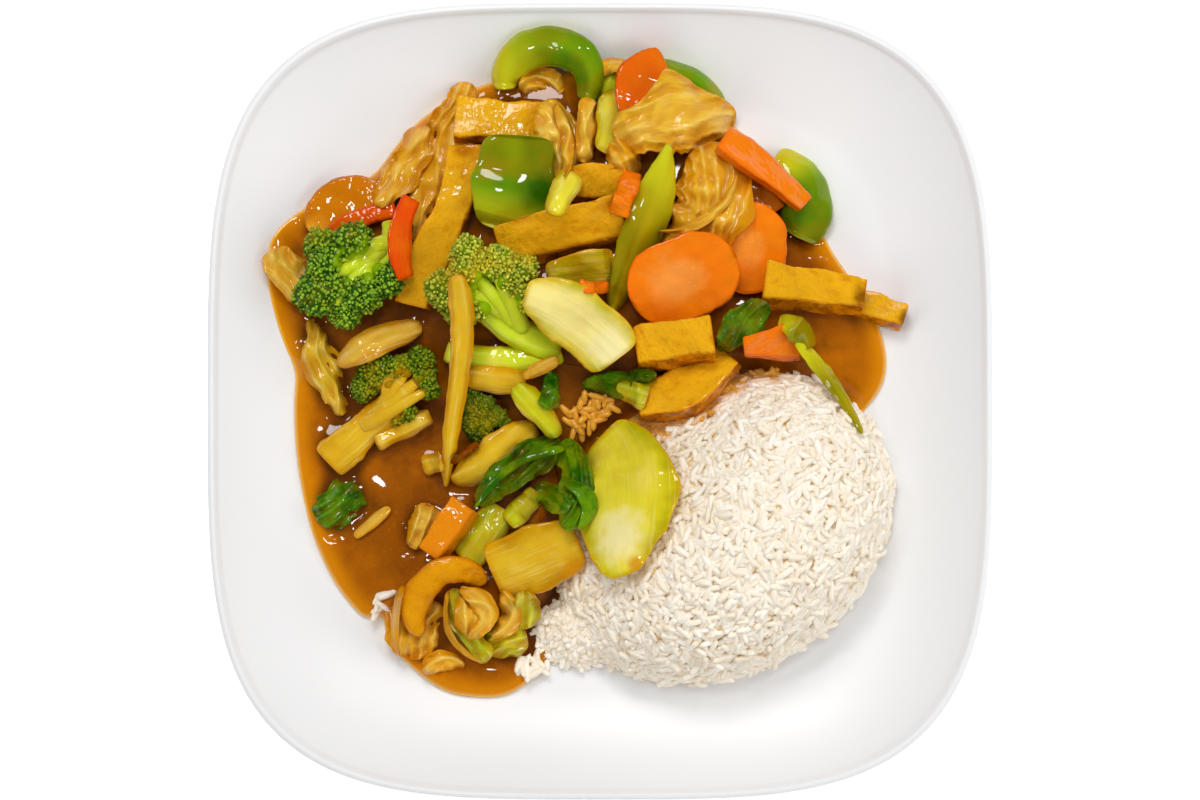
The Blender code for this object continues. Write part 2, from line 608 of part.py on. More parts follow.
def make_rice():
    """Rings down the dome, pushed in and out from the middle of its base into bumps of a grain's
    size, with the loose rice beside them and grains fused on the foot."""
    chance = np.random.default_rng(7)
    turn = np.arange(RICE_SIDES) * 2 * math.pi / RICE_SIDES
    x, y = rice_spot(even_parts(RICE_RINGS)[:, None], turn[None, :])
    heart = np.array([*RICE_CENTRE, PLATE_FLOOR])
    top = np.stack([x, y, rice_top(x, y)], axis=2) - heart
    bump = 1 + chance.uniform(-RICE_BUMP, RICE_BUMP, x.shape)
    bump[-1] = 1
    top = (top * bump[..., None] + heart).reshape(-1, 3)
    floor = PLATE_FLOOR + RICE_LIFT
    low = np.stack([x[-1], y[-1], plate_top(x[-1], y[-1]) + RICE_LIFT], axis=1)
    inner = np.stack([*rice_spot(0.8, turn), np.full(RICE_SIDES, floor)], axis=1)
    peak = (*RICE_CENTRE, float(rice_top(*RICE_CENTRE)))
    points = np.concatenate([[peak], top, low, inner, [(*RICE_CENTRE, floor)]])
    faces = fan_faces(0, 1, RICE_SIDES, flip=True)
    faces += [face[::-1] for face in ring_faces(RICE_RINGS + 2, RICE_SIDES, start=1)]
    faces += fan_faces(len(points) - 1, 1 + (RICE_RINGS + 1) * RICE_SIDES, RICE_SIDES)
    spill = np.array([*SPILL_CENTRE, floor + SPILL_RADII[2]])
    shapes = [(points, faces), ball(spill, np.array(SPILL_RADII), sides=10, rings=5)]
    for grain in range(RIM_GRAINS):
        angle = RIM_START + RIM_SWEEP * grain / RIM_GRAINS + chance.uniform(-0.05, 0.05)
        shapes.append(rim_grain(angle, chance.uniform(0.94, 0.985), chance.uniform(0, math.pi)))
    return largest_part(*union("rice", shapes))


def rim_grain(turn, part, lie):
    """A grain lying on the rice's foot."""
    x, y = rice_spot(part, turn)
    radii = (GRAIN_LENGTH / 2, GRAIN_WIDTH / 2, GRAIN_WIDTH / 2)
    points, faces = ball((0, 0, 0), radii, sides=6, rings=4)
    turned = np.array(points)
    turned[:, 0] = x + points[:, 0] * math.cos(lie) - points[:, 1] * math.sin(lie)
    turned[:, 1] = y + points[:, 0] * math.sin(lie) + points[:, 1] * math.cos(lie)
    turned[:, 2] += float(rice_top(x, y)) + 0.2
    floor = plate_top(turned[:, 0], turned[:, 1]) + RICE_LIFT
    turned[:, 2] += max(0.0, float((floor - turned[:, 2]).max()))
    return turned, faces


def make_sauce(ground):
    """Rings out from the pool's middle; their height is the mound's, kept under the food."""
    x, y = map_centres()
    allowed = np.minimum(mound_top(x, y), ground.ceiling.reshape(x.shape) - GAP)
    reach = int(7 / MAP_CELL)
    lowest = allowed.copy()
    for shift_x in range(-reach, reach + 1):
        for shift_y in range(-reach, reach + 1):
            lowest = np.minimum(lowest, np.roll(allowed, (shift_x, shift_y), axis=(0, 1)))
    turn = np.arange(POOL_SIDES) * 2 * math.pi / POOL_SIDES
    edge = pool_edge(turn)
    part = np.linspace(0, 1, POOL_RINGS + 1)[1:]
    x = POOL_CENTRE[0] + part[:, None] * edge * np.cos(turn)
    y = POOL_CENTRE[1] + part[:, None] * edge * np.sin(turn)
    cells = cell_of(np.stack([x, y], axis=-1))
    under = plate_top(x, y) + 0.6
    z = np.maximum(lowest[cells[..., 0], cells[..., 1]], under + 0.5)
    z[-1] = under[-1] + 0.6
    top = np.stack([x, y, z], axis=2).reshape(-1, 3)
    picked = [POOL_RINGS - 1, POOL_RINGS - 2, POOL_RINGS - 4]
    low = np.stack([x[picked], y[picked], under[picked]], axis=2).reshape(-1, 3)
    points = np.concatenate([
        [(*POOL_CENTRE, lowest[tuple(cell_of(np.array(POOL_CENTRE)))])], top, low,
        [(*POOL_CENTRE, PLATE_FLOOR + 0.6)],
    ])
    faces = fan_faces(0, 1, POOL_SIDES, flip=True)
    faces += [face[::-1] for face in ring_faces(POOL_RINGS + len(picked), POOL_SIDES, start=1)]
    faces += fan_faces(len(points) - 1, 1 + (POOL_RINGS + len(picked) - 1) * POOL_SIDES, POOL_SIDES)
    return points, faces


def main():
    for thing in list(bpy.data.objects):
        bpy.data.objects.remove(thing)
    make_plate()
    rice = make_rice()
    add_object("rice", *rice)
    ground = Ground()
    ground.cover(*rice)
    for seed, (name, line, widths, thick, kind) in enumerate(PIECES):
        for crown, before in LAID_BEFORE.items():
            if before == name:
                points, faces = broccoli_body(crown)
                add_object(crown, ground.lay(points, faces, CROWN_STEEPEST), faces)
        points, faces = food_body(line, widths, thick, kind, seed)
        form = (kind["rings"] - 1, kind["sides"], kind["soft"])
        add_object(name, ground.lay(points, faces, STEEPEST, form), faces)
    add_object("sauce", *make_sauce(ground))


main()
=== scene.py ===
# %% [markdown]
# # A plated curry with rice
# The meal is a heap of cut vegetables and fried tofu in a glossy yellow sauce, beside a dome of
# white rice on a white rounded-square plate. The imported solids say where every piece lies. This
# notebook makes the surfaces that the eye sees: each piece of food again as a fine surface that
# is worked out with numpy, thousands of rice grains, broccoli buds, the sauce and the glaze.

# %% The frame
import math
import json

import bpy
import numpy as np
from mathutils import Matrix


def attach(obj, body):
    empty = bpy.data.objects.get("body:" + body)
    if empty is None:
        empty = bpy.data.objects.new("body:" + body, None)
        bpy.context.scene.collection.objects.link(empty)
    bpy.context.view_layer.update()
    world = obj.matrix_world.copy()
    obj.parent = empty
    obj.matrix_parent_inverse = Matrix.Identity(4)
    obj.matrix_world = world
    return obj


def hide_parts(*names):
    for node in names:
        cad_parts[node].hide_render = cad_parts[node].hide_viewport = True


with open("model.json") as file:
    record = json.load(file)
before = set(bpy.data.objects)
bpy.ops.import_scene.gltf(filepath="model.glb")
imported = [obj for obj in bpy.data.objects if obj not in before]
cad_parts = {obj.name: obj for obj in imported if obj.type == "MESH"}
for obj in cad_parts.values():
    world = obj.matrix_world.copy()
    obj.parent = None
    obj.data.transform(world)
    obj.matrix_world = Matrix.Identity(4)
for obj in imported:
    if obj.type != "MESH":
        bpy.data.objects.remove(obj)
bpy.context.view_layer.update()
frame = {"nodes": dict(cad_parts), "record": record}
MM = 0.001
print("nodes in the frame:", len(frame["nodes"]))

# %% [markdown]
# ## Camera and light
# The photograph looks straight down on the plate, from far enough that its sides stay straight.
# The main light stands where a window would be, beyond the far edge of the plate. Slopes that face
# it are bright, and those that face the near edge are a little darker. Three small lamps hang
# higher up: faces that are a little uneven mirror them in broken highlights, as wet food does. Wide
# soft lamps on the other sides fill the shadows. They aren't mirrored in the glaze, so that its
# colours stay deep.

# %% Camera and lights
CAMERA_HEIGHT = 2.0
SENSOR = 36.0
FRAME_PIXELS = (1200, 800)
MM_PER_PIXEL = 0.34
PLATE_MIDDLE_PIXEL = (600, 401)


def aim(thing, spot):
    """Turn a light so that it looks at a spot: its -Z axis follows the line from it to the spot."""
    way = np.array(spot) - np.array(thing.location)
    across = math.hypot(way[0], way[1])
    thing.rotation_euler = (math.atan2(across, -way[2]), 0.0, math.atan2(way[1], way[0]) - math.pi / 2)


def area_light(name, place, size, power, mirrored):
    """A round lamp. One that isn't mirrored lights the food but makes no highlight on it."""
    lamp = bpy.data.lights.new(name, "AREA")
    lamp.shape = "DISK"
    lamp.size = size
    lamp.energy = power
    thing = bpy.data.objects.new(name, lamp)
    thing.location = place
    thing.visible_glossy = mirrored
    aim(thing, (0.0, 0.0, 0.0))
    bpy.context.scene.collection.objects.link(thing)
    return thing


view = bpy.data.cameras.new("overhead")
view.sensor_width = SENSOR
view.lens = SENSOR * CAMERA_HEIGHT / (FRAME_PIXELS[0] * MM_PER_PIXEL * MM)
camera = bpy.data.objects.new("overhead", view)
middle_shift = (PLATE_MIDDLE_PIXEL[1] - FRAME_PIXELS[1] / 2) * MM_PER_PIXEL * MM
camera.location = (0.0, middle_shift, CAMERA_HEIGHT)
bpy.context.scene.collection.objects.link(camera)
bpy.context.scene.camera = camera

LAMPS = (
    # name, place, size, power, and whether the food mirrors it
    ("window", (-0.2, 1.0, 1.35), 0.6, 10.5, True),
    ("high lamp", (-0.1, 0.42, 1.7), 0.2, 2.6, True),
    ("left lamp", (-0.8, 0.5, 1.5), 0.16, 2.2, True),
    ("right lamp", (0.5, 0.75, 1.5), 0.2, 2.8, True),
    ("left fill", (-1.7, -0.1, 1.2), 1.8, 7.5, False),
    ("right fill", (1.7, -0.1, 1.2), 1.8, 18.5, False),
    ("front fill", (0.1, -1.7, 1.2), 1.8, 12.5, False),
)
AIR_LIGHT = 0.09
for lamp in LAMPS:
    area_light(*lamp)

world = bpy.data.worlds.new("studio")
world.use_nodes = True
world.node_tree.nodes["Background"].inputs["Color"].default_value = (1.0, 1.0, 1.0, 1.0)
world.node_tree.nodes["Background"].inputs["Strength"].default_value = AIR_LIGHT
bpy.context.scene.world = world
bpy.context.scene.view_settings.view_transform = "Standard"
print("lens", round(view.lens, 1), "mm, lamps:", len(LAMPS))

# %% [markdown]
# ## Writing materials as sums
# A material is a graph of nodes. Written by hand it is long, so one small class wraps a socket:
# adding, subtracting or multiplying two of them adds the Math node that does it. A recipe then
# reads like the sentence it means, such as 1 - mask * 0.5.

# %% The socket class and the recipe class
class Wire:
    """One value in a material, with the usual arithmetic."""

    def __init__(self, recipe, socket):
        self.recipe = recipe
        self.socket = socket

    def math(self, operation, *others):
        """A Math node that takes this value first."""
        return self.recipe.node("ShaderNodeMath", {"operation": operation}, [self, *others])

    def __add__(self, other):
        return self.math("ADD", other)

    def __sub__(self, other):
        return self.math("SUBTRACT", other)

    def __mul__(self, other):
        return self.math("MULTIPLY", other)

    def __pow__(self, other):
        return self.math("POWER", other)

    def __rsub__(self, other):
        return self.recipe.node("ShaderNodeMath", {"operation": "SUBTRACT"}, [other, self])

    __radd__ = __add__
    __rmul__ = __mul__

    def between(self, low, high):
        """0 below low, 1 above high, smooth in between."""
        settings = {"interpolation_type": "SMOOTHSTEP"}
        values = {"Value": self, "From Min": low, "From Max": high}
        return self.recipe.node("ShaderNodeMapRange", settings, values)


class Recipe:
    """One material: its nodes are added by type, settings and socket values."""

    def __init__(self, name, **constants):
        self.material = bpy.data.materials.new(name)
        self.material.use_nodes = True
        self.tree = self.material.node_tree
        self.shader = self.tree.nodes["Principled BSDF"]
        for socket, value in constants.items():
            self.shader.inputs[socket.replace("_", " ")].default_value = value

    def connect(self, value, socket):
        """Link a wire to a socket, or set a plain value on it."""
        if isinstance(value, Wire):
            self.tree.links.new(value.socket, socket)
        elif value is not None:
            socket.default_value = value

    def node(self, kind, settings, values, output=0):
        """Add a node: its settings first, then the value or the wire of each socket."""
        made = self.tree.nodes.new(kind)
        for name, value in settings.items():
            setattr(made, name, value)
        pairs = values.items() if isinstance(values, dict) else enumerate(values)
        for key, value in pairs:
            self.connect(value, made.inputs[key])
        return Wire(self, made.outputs[output])

    def place(self):
        """Object coordinates in millimetres."""
        spot = self.node("ShaderNodeTexCoord", {}, {}, "Object")
        return self.node("ShaderNodeVectorMath", {"operation": "SCALE"}, {0: spot, "Scale": 1 / MM})

    def lie(self, stretch=(1.0, 1.0, 1.0)):
        """The piece's own coordinates, along, across and up, in millimetres."""
        own = self.node("ShaderNodeAttribute", {"attribute_name": "lie"}, {}, "Vector")
        return self.node("ShaderNodeVectorMath", {"operation": "MULTIPLY"}, {0: own, 1: stretch})

    def value(self, name):
        """One of the piece's own fields, such as its rim."""
        return self.node("ShaderNodeAttribute", {"attribute_name": name}, {}, "Fac")

    def noise(self, vector, scale, detail=3.0, rough=0.55):
        """Cloudy noise whose blobs are about 1 / scale millimetres long."""
        values = {"Vector": vector, "Scale": scale, "Detail": detail, "Roughness": rough}
        return self.node("ShaderNodeTexNoise", {}, values)

    def blend(self, amount, first, second):
        """A colour between two colours."""
        values = {"Factor": amount, 6: first, 7: second}
        return self.node("ShaderNodeMix", {"data_type": "RGBA"}, values, 2)

    def near(self, spot, reach):
        """1 round a spot of the plate, with an uneven edge, and 0 further off."""
        place = self.place()
        flat = self.node("ShaderNodeVectorMath", {"operation": "MULTIPLY"}, {0: place, 1: (1.0, 1.0, 0.0)})
        ends = {0: flat, 1: (*spot, 0.0)}
        away = self.node("ShaderNodeVectorMath", {"operation": "DISTANCE"}, ends, "Value")
        return 1 - (away + self.noise(place, 0.15) * reach).between(reach * 0.7, reach * 1.5)

    def bump(self, height, strength, distance):
        """Relief too fine for the mesh, with its depth in millimetres."""
        values = {"Height": height, "Strength": strength, "Distance": distance * MM}
        return self.node("ShaderNodeBump", {}, values)

    def finish(self, colour, rough, normal=None, coat=None):
        """Lead the results to the shader, and give the material."""
        self.connect(colour, self.shader.inputs["Base Color"])
        self.connect(rough, self.shader.inputs["Roughness"])
        self.connect(normal, self.shader.inputs["Normal"])
        self.connect(coat, self.shader.inputs["Coat Weight"])
        return self.material


def srgb(red, green, blue):
    """A screen colour, 0 to 255, as the linear colour that a shader takes."""
    parts = np.array([red, green, blue]) / 255
    linear = np.where(parts <= 0.04045, parts / 12.92, ((parts + 0.055) / 1.055) ** 2.4)
    return (*linear.tolist(), 1.0)


print("recipes ready")

# %% [markdown]
# ## Mesh helpers
# Most pieces are tubes: closed rings that follow each other, shut by a point at each end. The
# helper takes the rings as one array and makes the faces by arithmetic on whole index arrays.

# %% Tubes, smooth waves and joined copies
def mesh_object(name, points, quads, triangles, fields=None):
    """An object in metres from points in millimetres, with its fields as point attributes."""
    mesh = bpy.data.meshes.new(name)
    quads = np.asarray(quads, int).reshape(-1, 4)
    triangles = np.asarray(triangles, int).reshape(-1, 3)
    corners = np.concatenate([quads.ravel(), triangles.ravel()])
    starts = np.concatenate([
        np.arange(len(quads)) * 4,
        len(quads) * 4 + np.arange(len(triangles)) * 3,
    ])
    mesh.vertices.add(len(points))
    mesh.vertices.foreach_set("co", (np.asarray(points, float) * MM).ravel())
    mesh.loops.add(len(corners))
    mesh.loops.foreach_set("vertex_index", corners)
    mesh.polygons.add(len(starts))
    mesh.polygons.foreach_set("loop_start", starts)
    mesh.update(calc_edges=True)
    mesh.validate()
    mesh.shade_smooth()
    for field, values in (fields or {}).items():
        values = np.asarray(values, np.float32)
        kind = "FLOAT_VECTOR" if values.ndim == 2 else "FLOAT"
        layer = mesh.attributes.new(field, kind, "POINT")
        layer.data.foreach_set("vector" if values.ndim == 2 else "value", values.ravel())
    thing = bpy.data.objects.new(name, mesh)
    bpy.context.scene.collection.objects.link(thing)
    return thing


def tube_faces(rings, sides):
    """Quads between closed rings, and the triangles from the two poles after them."""
    ring = np.arange(rings - 1)[:, None] * sides
    side = np.arange(sides)[None, :]
    beside = (side + 1) % sides
    quads = np.stack([ring + side, ring + beside, ring + sides + beside, ring + sides + side], axis=2)
    side = np.arange(sides)
    beside = (side + 1) % sides
    first, last = rings * sides, rings * sides + 1
    top = (rings - 1) * sides
    start = np.stack([np.full(sides, first), beside, side], axis=1)
    end = np.stack([np.full(sides, last), top + side, top + beside], axis=1)
    return quads.reshape(-1, 4), np.concatenate([start, end])


def waves(points, size, seed, count=7):
    """A smooth random field between about -1 and 1: a sum of sine waves of one length that run
    in different directions."""
    chance = np.random.default_rng(seed)
    way = chance.normal(size=(count, points.shape[-1]))
    way /= np.linalg.norm(way, axis=1, keepdims=True)
    phase = chance.uniform(0, 2 * np.pi, count)
    stretch = chance.uniform(0.75, 1.35, count)
    total = np.sin(points @ (way * (2 * np.pi / size * stretch)[:, None]).T + phase).sum(axis=-1)
    return total / math.sqrt(count)


def smooth_step(value):
    """3 v^2 - 2 v^3: from 0 to 1 with a level start and a level end."""
    value = np.clip(value, 0.0, 1.0)
    return value * value * (3 - 2 * value)


food = []


def dress(piece, node, slot):
    """Let a piece stand for a node and move with the meal. Every piece but the plate is kept as food."""
    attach(piece, "root")
    if slot != "porcelain":
        food.append(piece)
    if node:
        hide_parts(node)
    return piece


def copies(name, template, turns, places, fields=None):
    """One mesh from many copies of a small closed shape: each copy is the shape's points, turned
    and stretched by its own 3 by 3 matrix and moved to its place."""
    points, triangles = template
    placed = np.einsum("nij,pj->npi", turns, points) + places[:, None, :]
    faces = triangles[None] + (np.arange(len(places)) * len(points))[:, None, None]
    spread = {key: np.repeat(value, len(points), axis=0) for key, value in (fields or {}).items()}
    return mesh_object(name, placed.reshape(-1, 3), [], faces.reshape(-1, 3), spread)


def seed_shape(sides, rings, power=1.0):
    """A small closed ball of radius 1: rings from pole to pole, with blunt ends below power 1."""
    fall = np.pi * np.arange(1, rings) / rings
    turn = 2 * np.pi * np.arange(sides) / sides
    x = np.cos(fall)[:, None] * np.ones(sides)
    wide = np.sin(fall)[:, None] ** power
    body = np.stack([x, wide * np.cos(turn), wide * np.sin(turn)], axis=2).reshape(-1, 3)
    points = np.concatenate([body, [[1.0, 0, 0], [-1.0, 0, 0]]])
    quads, ends = tube_faces(rings - 1, sides)
    split = np.concatenate([quads[:, [0, 1, 2]], quads[:, [0, 2, 3]], ends])
    return points, split[:, ::-1]


print("mesh helpers ready")

# %% [markdown]
# ## The plate
# A coupe plate has no separate rim: the flat well turns up in one curve to a thin round lip. It
# is one closed surface here, a rounded-square outline carried along the plate's section, so its
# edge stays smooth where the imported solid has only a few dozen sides. Glazed porcelain is white
# and shines softly, and its glaze is very slightly uneven.

# %% The plate's surface
PLATE_HALF = (132.0, 134.0)
PLATE_POWER = 3.7
PLATE_HEIGHT = 24.0
PLATE_FLOOR = 6.0
PLATE_WALL = 4.0
LIP_WALL = 3.0
WELL_REACH = 0.74
RISE_POWER = 1.6
PLATE_SIDES = 288
LIP_MIDDLE = 0.9885
LIP_DEEP = 0.0115
LIP_ROUND = 1.5
WALL_FROM = 0.965
WALL_TO = 0.76


def plate_reach(x, y):
    """How far out a spot lies: 0 at the plate's middle and 1 at its edge."""
    across = (np.abs(x) / PLATE_HALF[0]) ** PLATE_POWER
    along = (np.abs(y) / PLATE_HALF[1]) ** PLATE_POWER
    return (across + along) ** (1 / PLATE_POWER)


def rise_at(reach):
    """Height of the upper face: flat, then a power curve up to the lip."""
    rise = np.clip((np.asarray(reach) - WELL_REACH) / (1 - WELL_REACH), 0, 1) ** RISE_POWER
    return PLATE_FLOOR + (PLATE_HEIGHT - PLATE_FLOOR) * rise


def plate_top(x, y):
    """Height of the plate's upper face at a spot."""
    return rise_at(plate_reach(x, y))


def plate_section():
    """Reach and height of each ring, from the well over the lip and down to the foot."""
    inside = np.concatenate([np.linspace(0.04, WELL_REACH, 12), np.linspace(0.75, 0.978, 26)])
    upper = np.stack([inside, rise_at(inside)], axis=1)
    turn = np.linspace(1.9, -1.2, 12)
    lip_height = PLATE_HEIGHT - LIP_ROUND + LIP_ROUND * np.sin(turn)
    lip = np.stack([LIP_MIDDLE + LIP_DEEP * np.cos(turn), lip_height], axis=1)
    outside = np.linspace(WALL_FROM, WALL_TO, 16)
    wall = PLATE_WALL + (LIP_WALL - PLATE_WALL) * smooth_step((outside - WALL_TO) / 0.2)
    lower = np.stack([outside, rise_at(outside) - wall], axis=1)
    under = PLATE_FLOOR - PLATE_WALL
    outer_foot = [(0.62, under), (0.604, under - 0.1), (0.598, under - 0.9), (0.59, 0.35), (0.583, 0.0)]
    inner_foot = [(0.552, 0.0), (0.545, 0.35), (0.538, under - 0.9), (0.53, under - 0.1), (0.5, under)]
    base = [(0.2, under), (0.02, under)]
    return np.concatenate([upper, lip, lower, outer_foot, inner_foot, base])


def make_plate():
    """The section at every side of the outline: each of its rings is the outline made smaller."""
    section = plate_section()
    turn = 2 * np.pi * np.arange(PLATE_SIDES) / PLATE_SIDES
    edge = 1 / plate_reach(np.cos(turn), np.sin(turn))
    outline = np.stack([edge * np.cos(turn), edge * np.sin(turn)], axis=1)
    flat = section[:, None, :1] * outline[None]
    height = np.broadcast_to(section[:, 1][:, None, None], (*flat.shape[:2], 1))
    body = np.concatenate([flat, height], axis=2).reshape(-1, 3)
    poles = [[0, 0, PLATE_FLOOR], [0, 0, PLATE_FLOOR - PLATE_WALL]]
    quads, ends = tube_faces(len(section), PLATE_SIDES)
    return mesh_object("porcelain_plate", np.concatenate([body, poles]), quads[:, ::-1], ends[:, ::-1])


def porcelain():
    """White glaze: its colour drifts a little, and it is very slightly uneven."""
    recipe = Recipe("porcelain", Specular_IOR_Level=0.4)
    place = recipe.place()
    cloud = recipe.noise(place, 0.02, 2.0)
    speck = recipe.noise(place, 0.5, 2.0)
    colour = recipe.blend(cloud, srgb(238, 239, 240), srgb(241, 241, 242))
    uneven = recipe.bump(recipe.noise(place, 0.035, 1.0), 0.25, 0.6)
    return recipe.finish(colour, 0.34 + speck * 0.08, uneven)


plate = make_plate()
plate.data.materials.append(porcelain())
dress(plate, "plate", "porcelain")
print("plate faces:", len(plate.data.polygons))

# %% [markdown]
# ## Cut food as bent, rounded bars
# Slices, sticks, strips and leaves all come from one surface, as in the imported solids: a section
# that is a rounded square stands at each point of a smooth line through the piece's middle. Here
# it has many more rings, and small relief is added: pits in fried tofu, ribs in a stem, folds in a
# leaf. A knife leaves flat faces that meet in crisp edges, and a soft leaf has a thin torn rim, so
# the section depends on the kind. The table holds the same sizes as the solids, so each piece can
# find its own seat.

# %% The kinds of cut food and the table of pieces
# section and ends: how square a piece is across and at its ends, where 2 is round
# bow, cup and wave: how far its middle rises along it, falls at its sides and ripples, in millimetres
# rings and sides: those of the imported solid, on which the piece finds its seat
# skin: which relief it has; torn: how ragged its outline is, as a part of its width
TOFU = dict(section=6.0, ends=7.0, bow=0.6, cup=0.0, wave=0.5, rings=7, sides=8, skin="tofu")
CARROT = dict(section=6.0, ends=2.1, bow=0.4, cup=0.0, wave=0.3, rings=8, sides=8, skin="carrot")
DIAMOND = dict(section=6.0, ends=1.5, bow=0.4, cup=0.0, wave=0.2, rings=8, sides=8, skin="carrot")
STICK = dict(section=4.5, ends=7.0, bow=0.5, cup=0.0, wave=0.3, rings=6, sides=8, skin="carrot")
PEPPER = dict(section=3.4, ends=5.0, bow=1.0, cup=-2.4, wave=0.5, rings=8, sides=8, skin="pepper")
STEM = dict(section=2.8, ends=3.2, bow=1.0, cup=-1.4, wave=0.6, rings=8, sides=8, skin="stem", torn=0.04)
SLAB = dict(section=3.6, ends=6.0, bow=0.8, cup=-1.2, wave=0.5, rings=8, sides=8, skin="stem")
LEAF = dict(section=2.2, ends=2.8, bow=0.6, cup=-0.8, wave=2.0, rings=9, sides=8, skin="leaf", torn=0.13)
THREAD = dict(section=2.2, ends=3.0, bow=0.4, cup=0.0, wave=0.4, rings=9, sides=6, skin="thread", torn=0.05)
CHUNK = dict(PEPPER, skin="ridge")
CURLY = dict(STEM, skin="leaf", torn=0.1)
SQUARE_CUT = ("tofu", "carrot")
BLUNT = 8.0

PIECES = (
    # name, line along its middle, widths at the line's points, thickness and kind
    ("golden_round", ((-98, 57), (-86, 66), (-73, 71)), (17, 21, 15), 4.0, CARROT),
    ("cabbage_end", ((-111, 51), (-106, 44), (-96, 35)), (12, 14, 10), 5.0, CURLY),
    ("cabbage_strip", ((-98, 28), (-94, 13), (-87, -5)), (8, 13, 8), 2.4, LEAF),
    ("red_sliver", ((-93, 55), (-82, 61), (-69, 65)), (5, 7, 6), 3.5, STICK),
    ("napa_left", ((-62, 54), (-58, 72), (-50, 92), (-45, 108)), (10, 14, 18, 14), 2.4, LEAF),
    ("pepper_back", ((-5, 102), (9, 109), (24, 110), (41, 100)), (9, 10, 10, 7), 4.5, PEPPER),
    ("pepper_curl", ((-32, 105), (-27, 116), (-17, 120), (-7, 116), (-5, 101)), (11, 13, 13, 13, 9), 5,
     PEPPER),
    ("tan_slice", ((-88, 12), (-75, 20), (-60, 25)), (7, 11, 8), 4.0, STEM),
    ("pepper_right", ((59, 82), (69, 72), (67, 55)), (11, 17, 17), 5.0, PEPPER),
    ("carrot_flat", ((49, 77), (58, 63)), (11, 11), 5.0, STICK),
    ("cabbage_crumple", ((-65, -87), (-60, -66)), (18, 20), 3.0, LEAF),
    ("scallion_bit", ((-96, -40), (-81, -30)), (13, 15), 2.6, LEAF),
    ("cabbage_bit", ((-63, -50), (-57, -35)), (8, 11), 4.0, CURLY),
    ("ring_bit", ((-39, -82), (-25, -78)), (13, 14), 6.0, CURLY),
    ("cabbage_fork", ((-49, -63), (-46, -77), (-37, -87)), (8, 10, 9), 3.4, CURLY),
    ("cabbage_core", ((-43, -79), (-43, -65)), (10, 12), 6.0, CURLY),
    ("yellow_plank", ((-45, -54), (-33, -36)), (12, 12), 3.6, SLAB),
    ("carrot_stick", ((-45, -35), (-57, -52)), (13, 11), 8.0, STICK),
    ("golden_band", ((-60, -79), (-61, -65), (-52, -57), (-39, -62)), (9, 10, 10, 9), 5.5, THREAD),
    ("slab_back", ((-49, 95), (-16, 93)), (16, 15), 7.0, TOFU),
    ("napa_frill", ((-20, 100), (-13, 88), (-16, 71)), (14, 17, 10), 3.0, LEAF),
    ("napa_finger", ((-4, 102), (-5, 80)), (8, 7), 5.0, CURLY),
    ("onion_petal", ((3, 104), (5, 94), (2, 83)), (9, 13, 10), 3.2, SLAB),
    ("carrot_diamond", ((9, 94), (19, 119)), (19, 19), 5.0, DIAMOND),
    ("tofu_stub", ((84, 34), (103, 28)), (11, 10), 8.0, TOFU),
    ("tofu_back", ((-11, 73), (9, 73)), (13, 15), 8.0, TOFU),
    ("carrot_low", ((50, 67), (50, 36)), (27, 27), 6.0, CARROT),
    ("napa_large", ((5, 88), (26, 95), (46, 96)), (18, 27, 14), 2.6, LEAF),
    ("napa_crumple", ((21, 51), (37, 66), (34, 86)), (14, 28, 22), 3.2, LEAF),
    ("carrot_wedge", ((41, 88), (55, 78), (69, 66)), (11, 11, 7), 8.0, STICK),
    ("tofu_long", ((-45, 86), (-48, 68), (-56, 50), (-63, 32)), (13, 14, 15, 13), 8.0, TOFU),
    ("red_piece", ((-63, 68), (-67, 55), (-65, 41)), (6, 8, 6), 4.0, STICK),
    ("pepper_chunk", ((-33, 57), (-29, 73), (-27, 89)), (22, 28, 26), 6.0, CHUNK),
    ("tofu_centre", ((-34, 51), (-14, 56), (8, 61)), (15, 18, 16), 9.0, TOFU),
    ("onion_wedge", ((-16, 62), (-9, 77)), (8, 10), 4.0, STEM),
    ("celery_plank", ((-18, 42), (5, 45)), (10, 15), 4.0, SLAB),
    ("celery_lens", ((23, 86), (19, 70), (12, 51), (4, 30)), (6, 13, 14, 6), 4.5, STEM),
    ("carrot_top", ((10, 34), (46, 48)), (30, 29), 6.0, CARROT),
    ("tofu_stick", ((55, 39), (89, 35)), (17, 13), 9.0, TOFU),
    ("tofu_bar", ((13, -1), (28, 3), (44, 15)), (13, 18, 11), 9.0, TOFU),
    ("tofu_cube", ((12, 17), (38, 21)), (17, 16), 11.0, TOFU),
    ("dark_leaf", ((40, 17), (48, 26), (57, 32)), (9, 12, 9), 2.2, LEAF),
    ("carrot_fan", ((48, 18), (67, 20)), (7, 15), 4.5, STICK),
    ("pepper_thread", ((66, 20), (78, 6), (88, -11)), (6, 5, 3), 2.4, THREAD),
    ("napa_stem", ((-25, 36), (-10, 29), (6, 14)), (12, 22, 20), 5.0, SLAB),
    ("yellow_slice", ((-50, -27), (-35, -19), (-22, -8)), (8, 16, 12), 4.0, STEM),
    ("bokchoy_base", ((-36, -59), (-7, -47)), (24, 20), 6.0, SLAB),
    ("bokchoy_stem", ((1, -11), (8, -28), (7, -42), (9, -58)), (22, 37, 31, 14), 8.0, SLAB),
    ("bokchoy_leaf", ((-13, -14), (-27, -22), (-41, -35)), (13, 12, 10), 2.4, LEAF),
    ("bokchoy_lobe", ((-12, -43), (-8, -27), (-12, -13)), (10, 12, 10), 3.0, LEAF),
    ("yellow_strip", ((-44, 8), (-25, 6)), (9, 9), 4.0, SLAB),
    ("green_stalk", ((-29, 5), (-21, -3), (-14, -12)), (9, 9, 7), 5.0, THREAD),
    ("long_strip", ((-48, 42), (-46, 24), (-48, 2), (-52, -29)), (11, 8, 7, 4), 4.0, THREAD),
)
print("cut pieces:", len(PIECES))

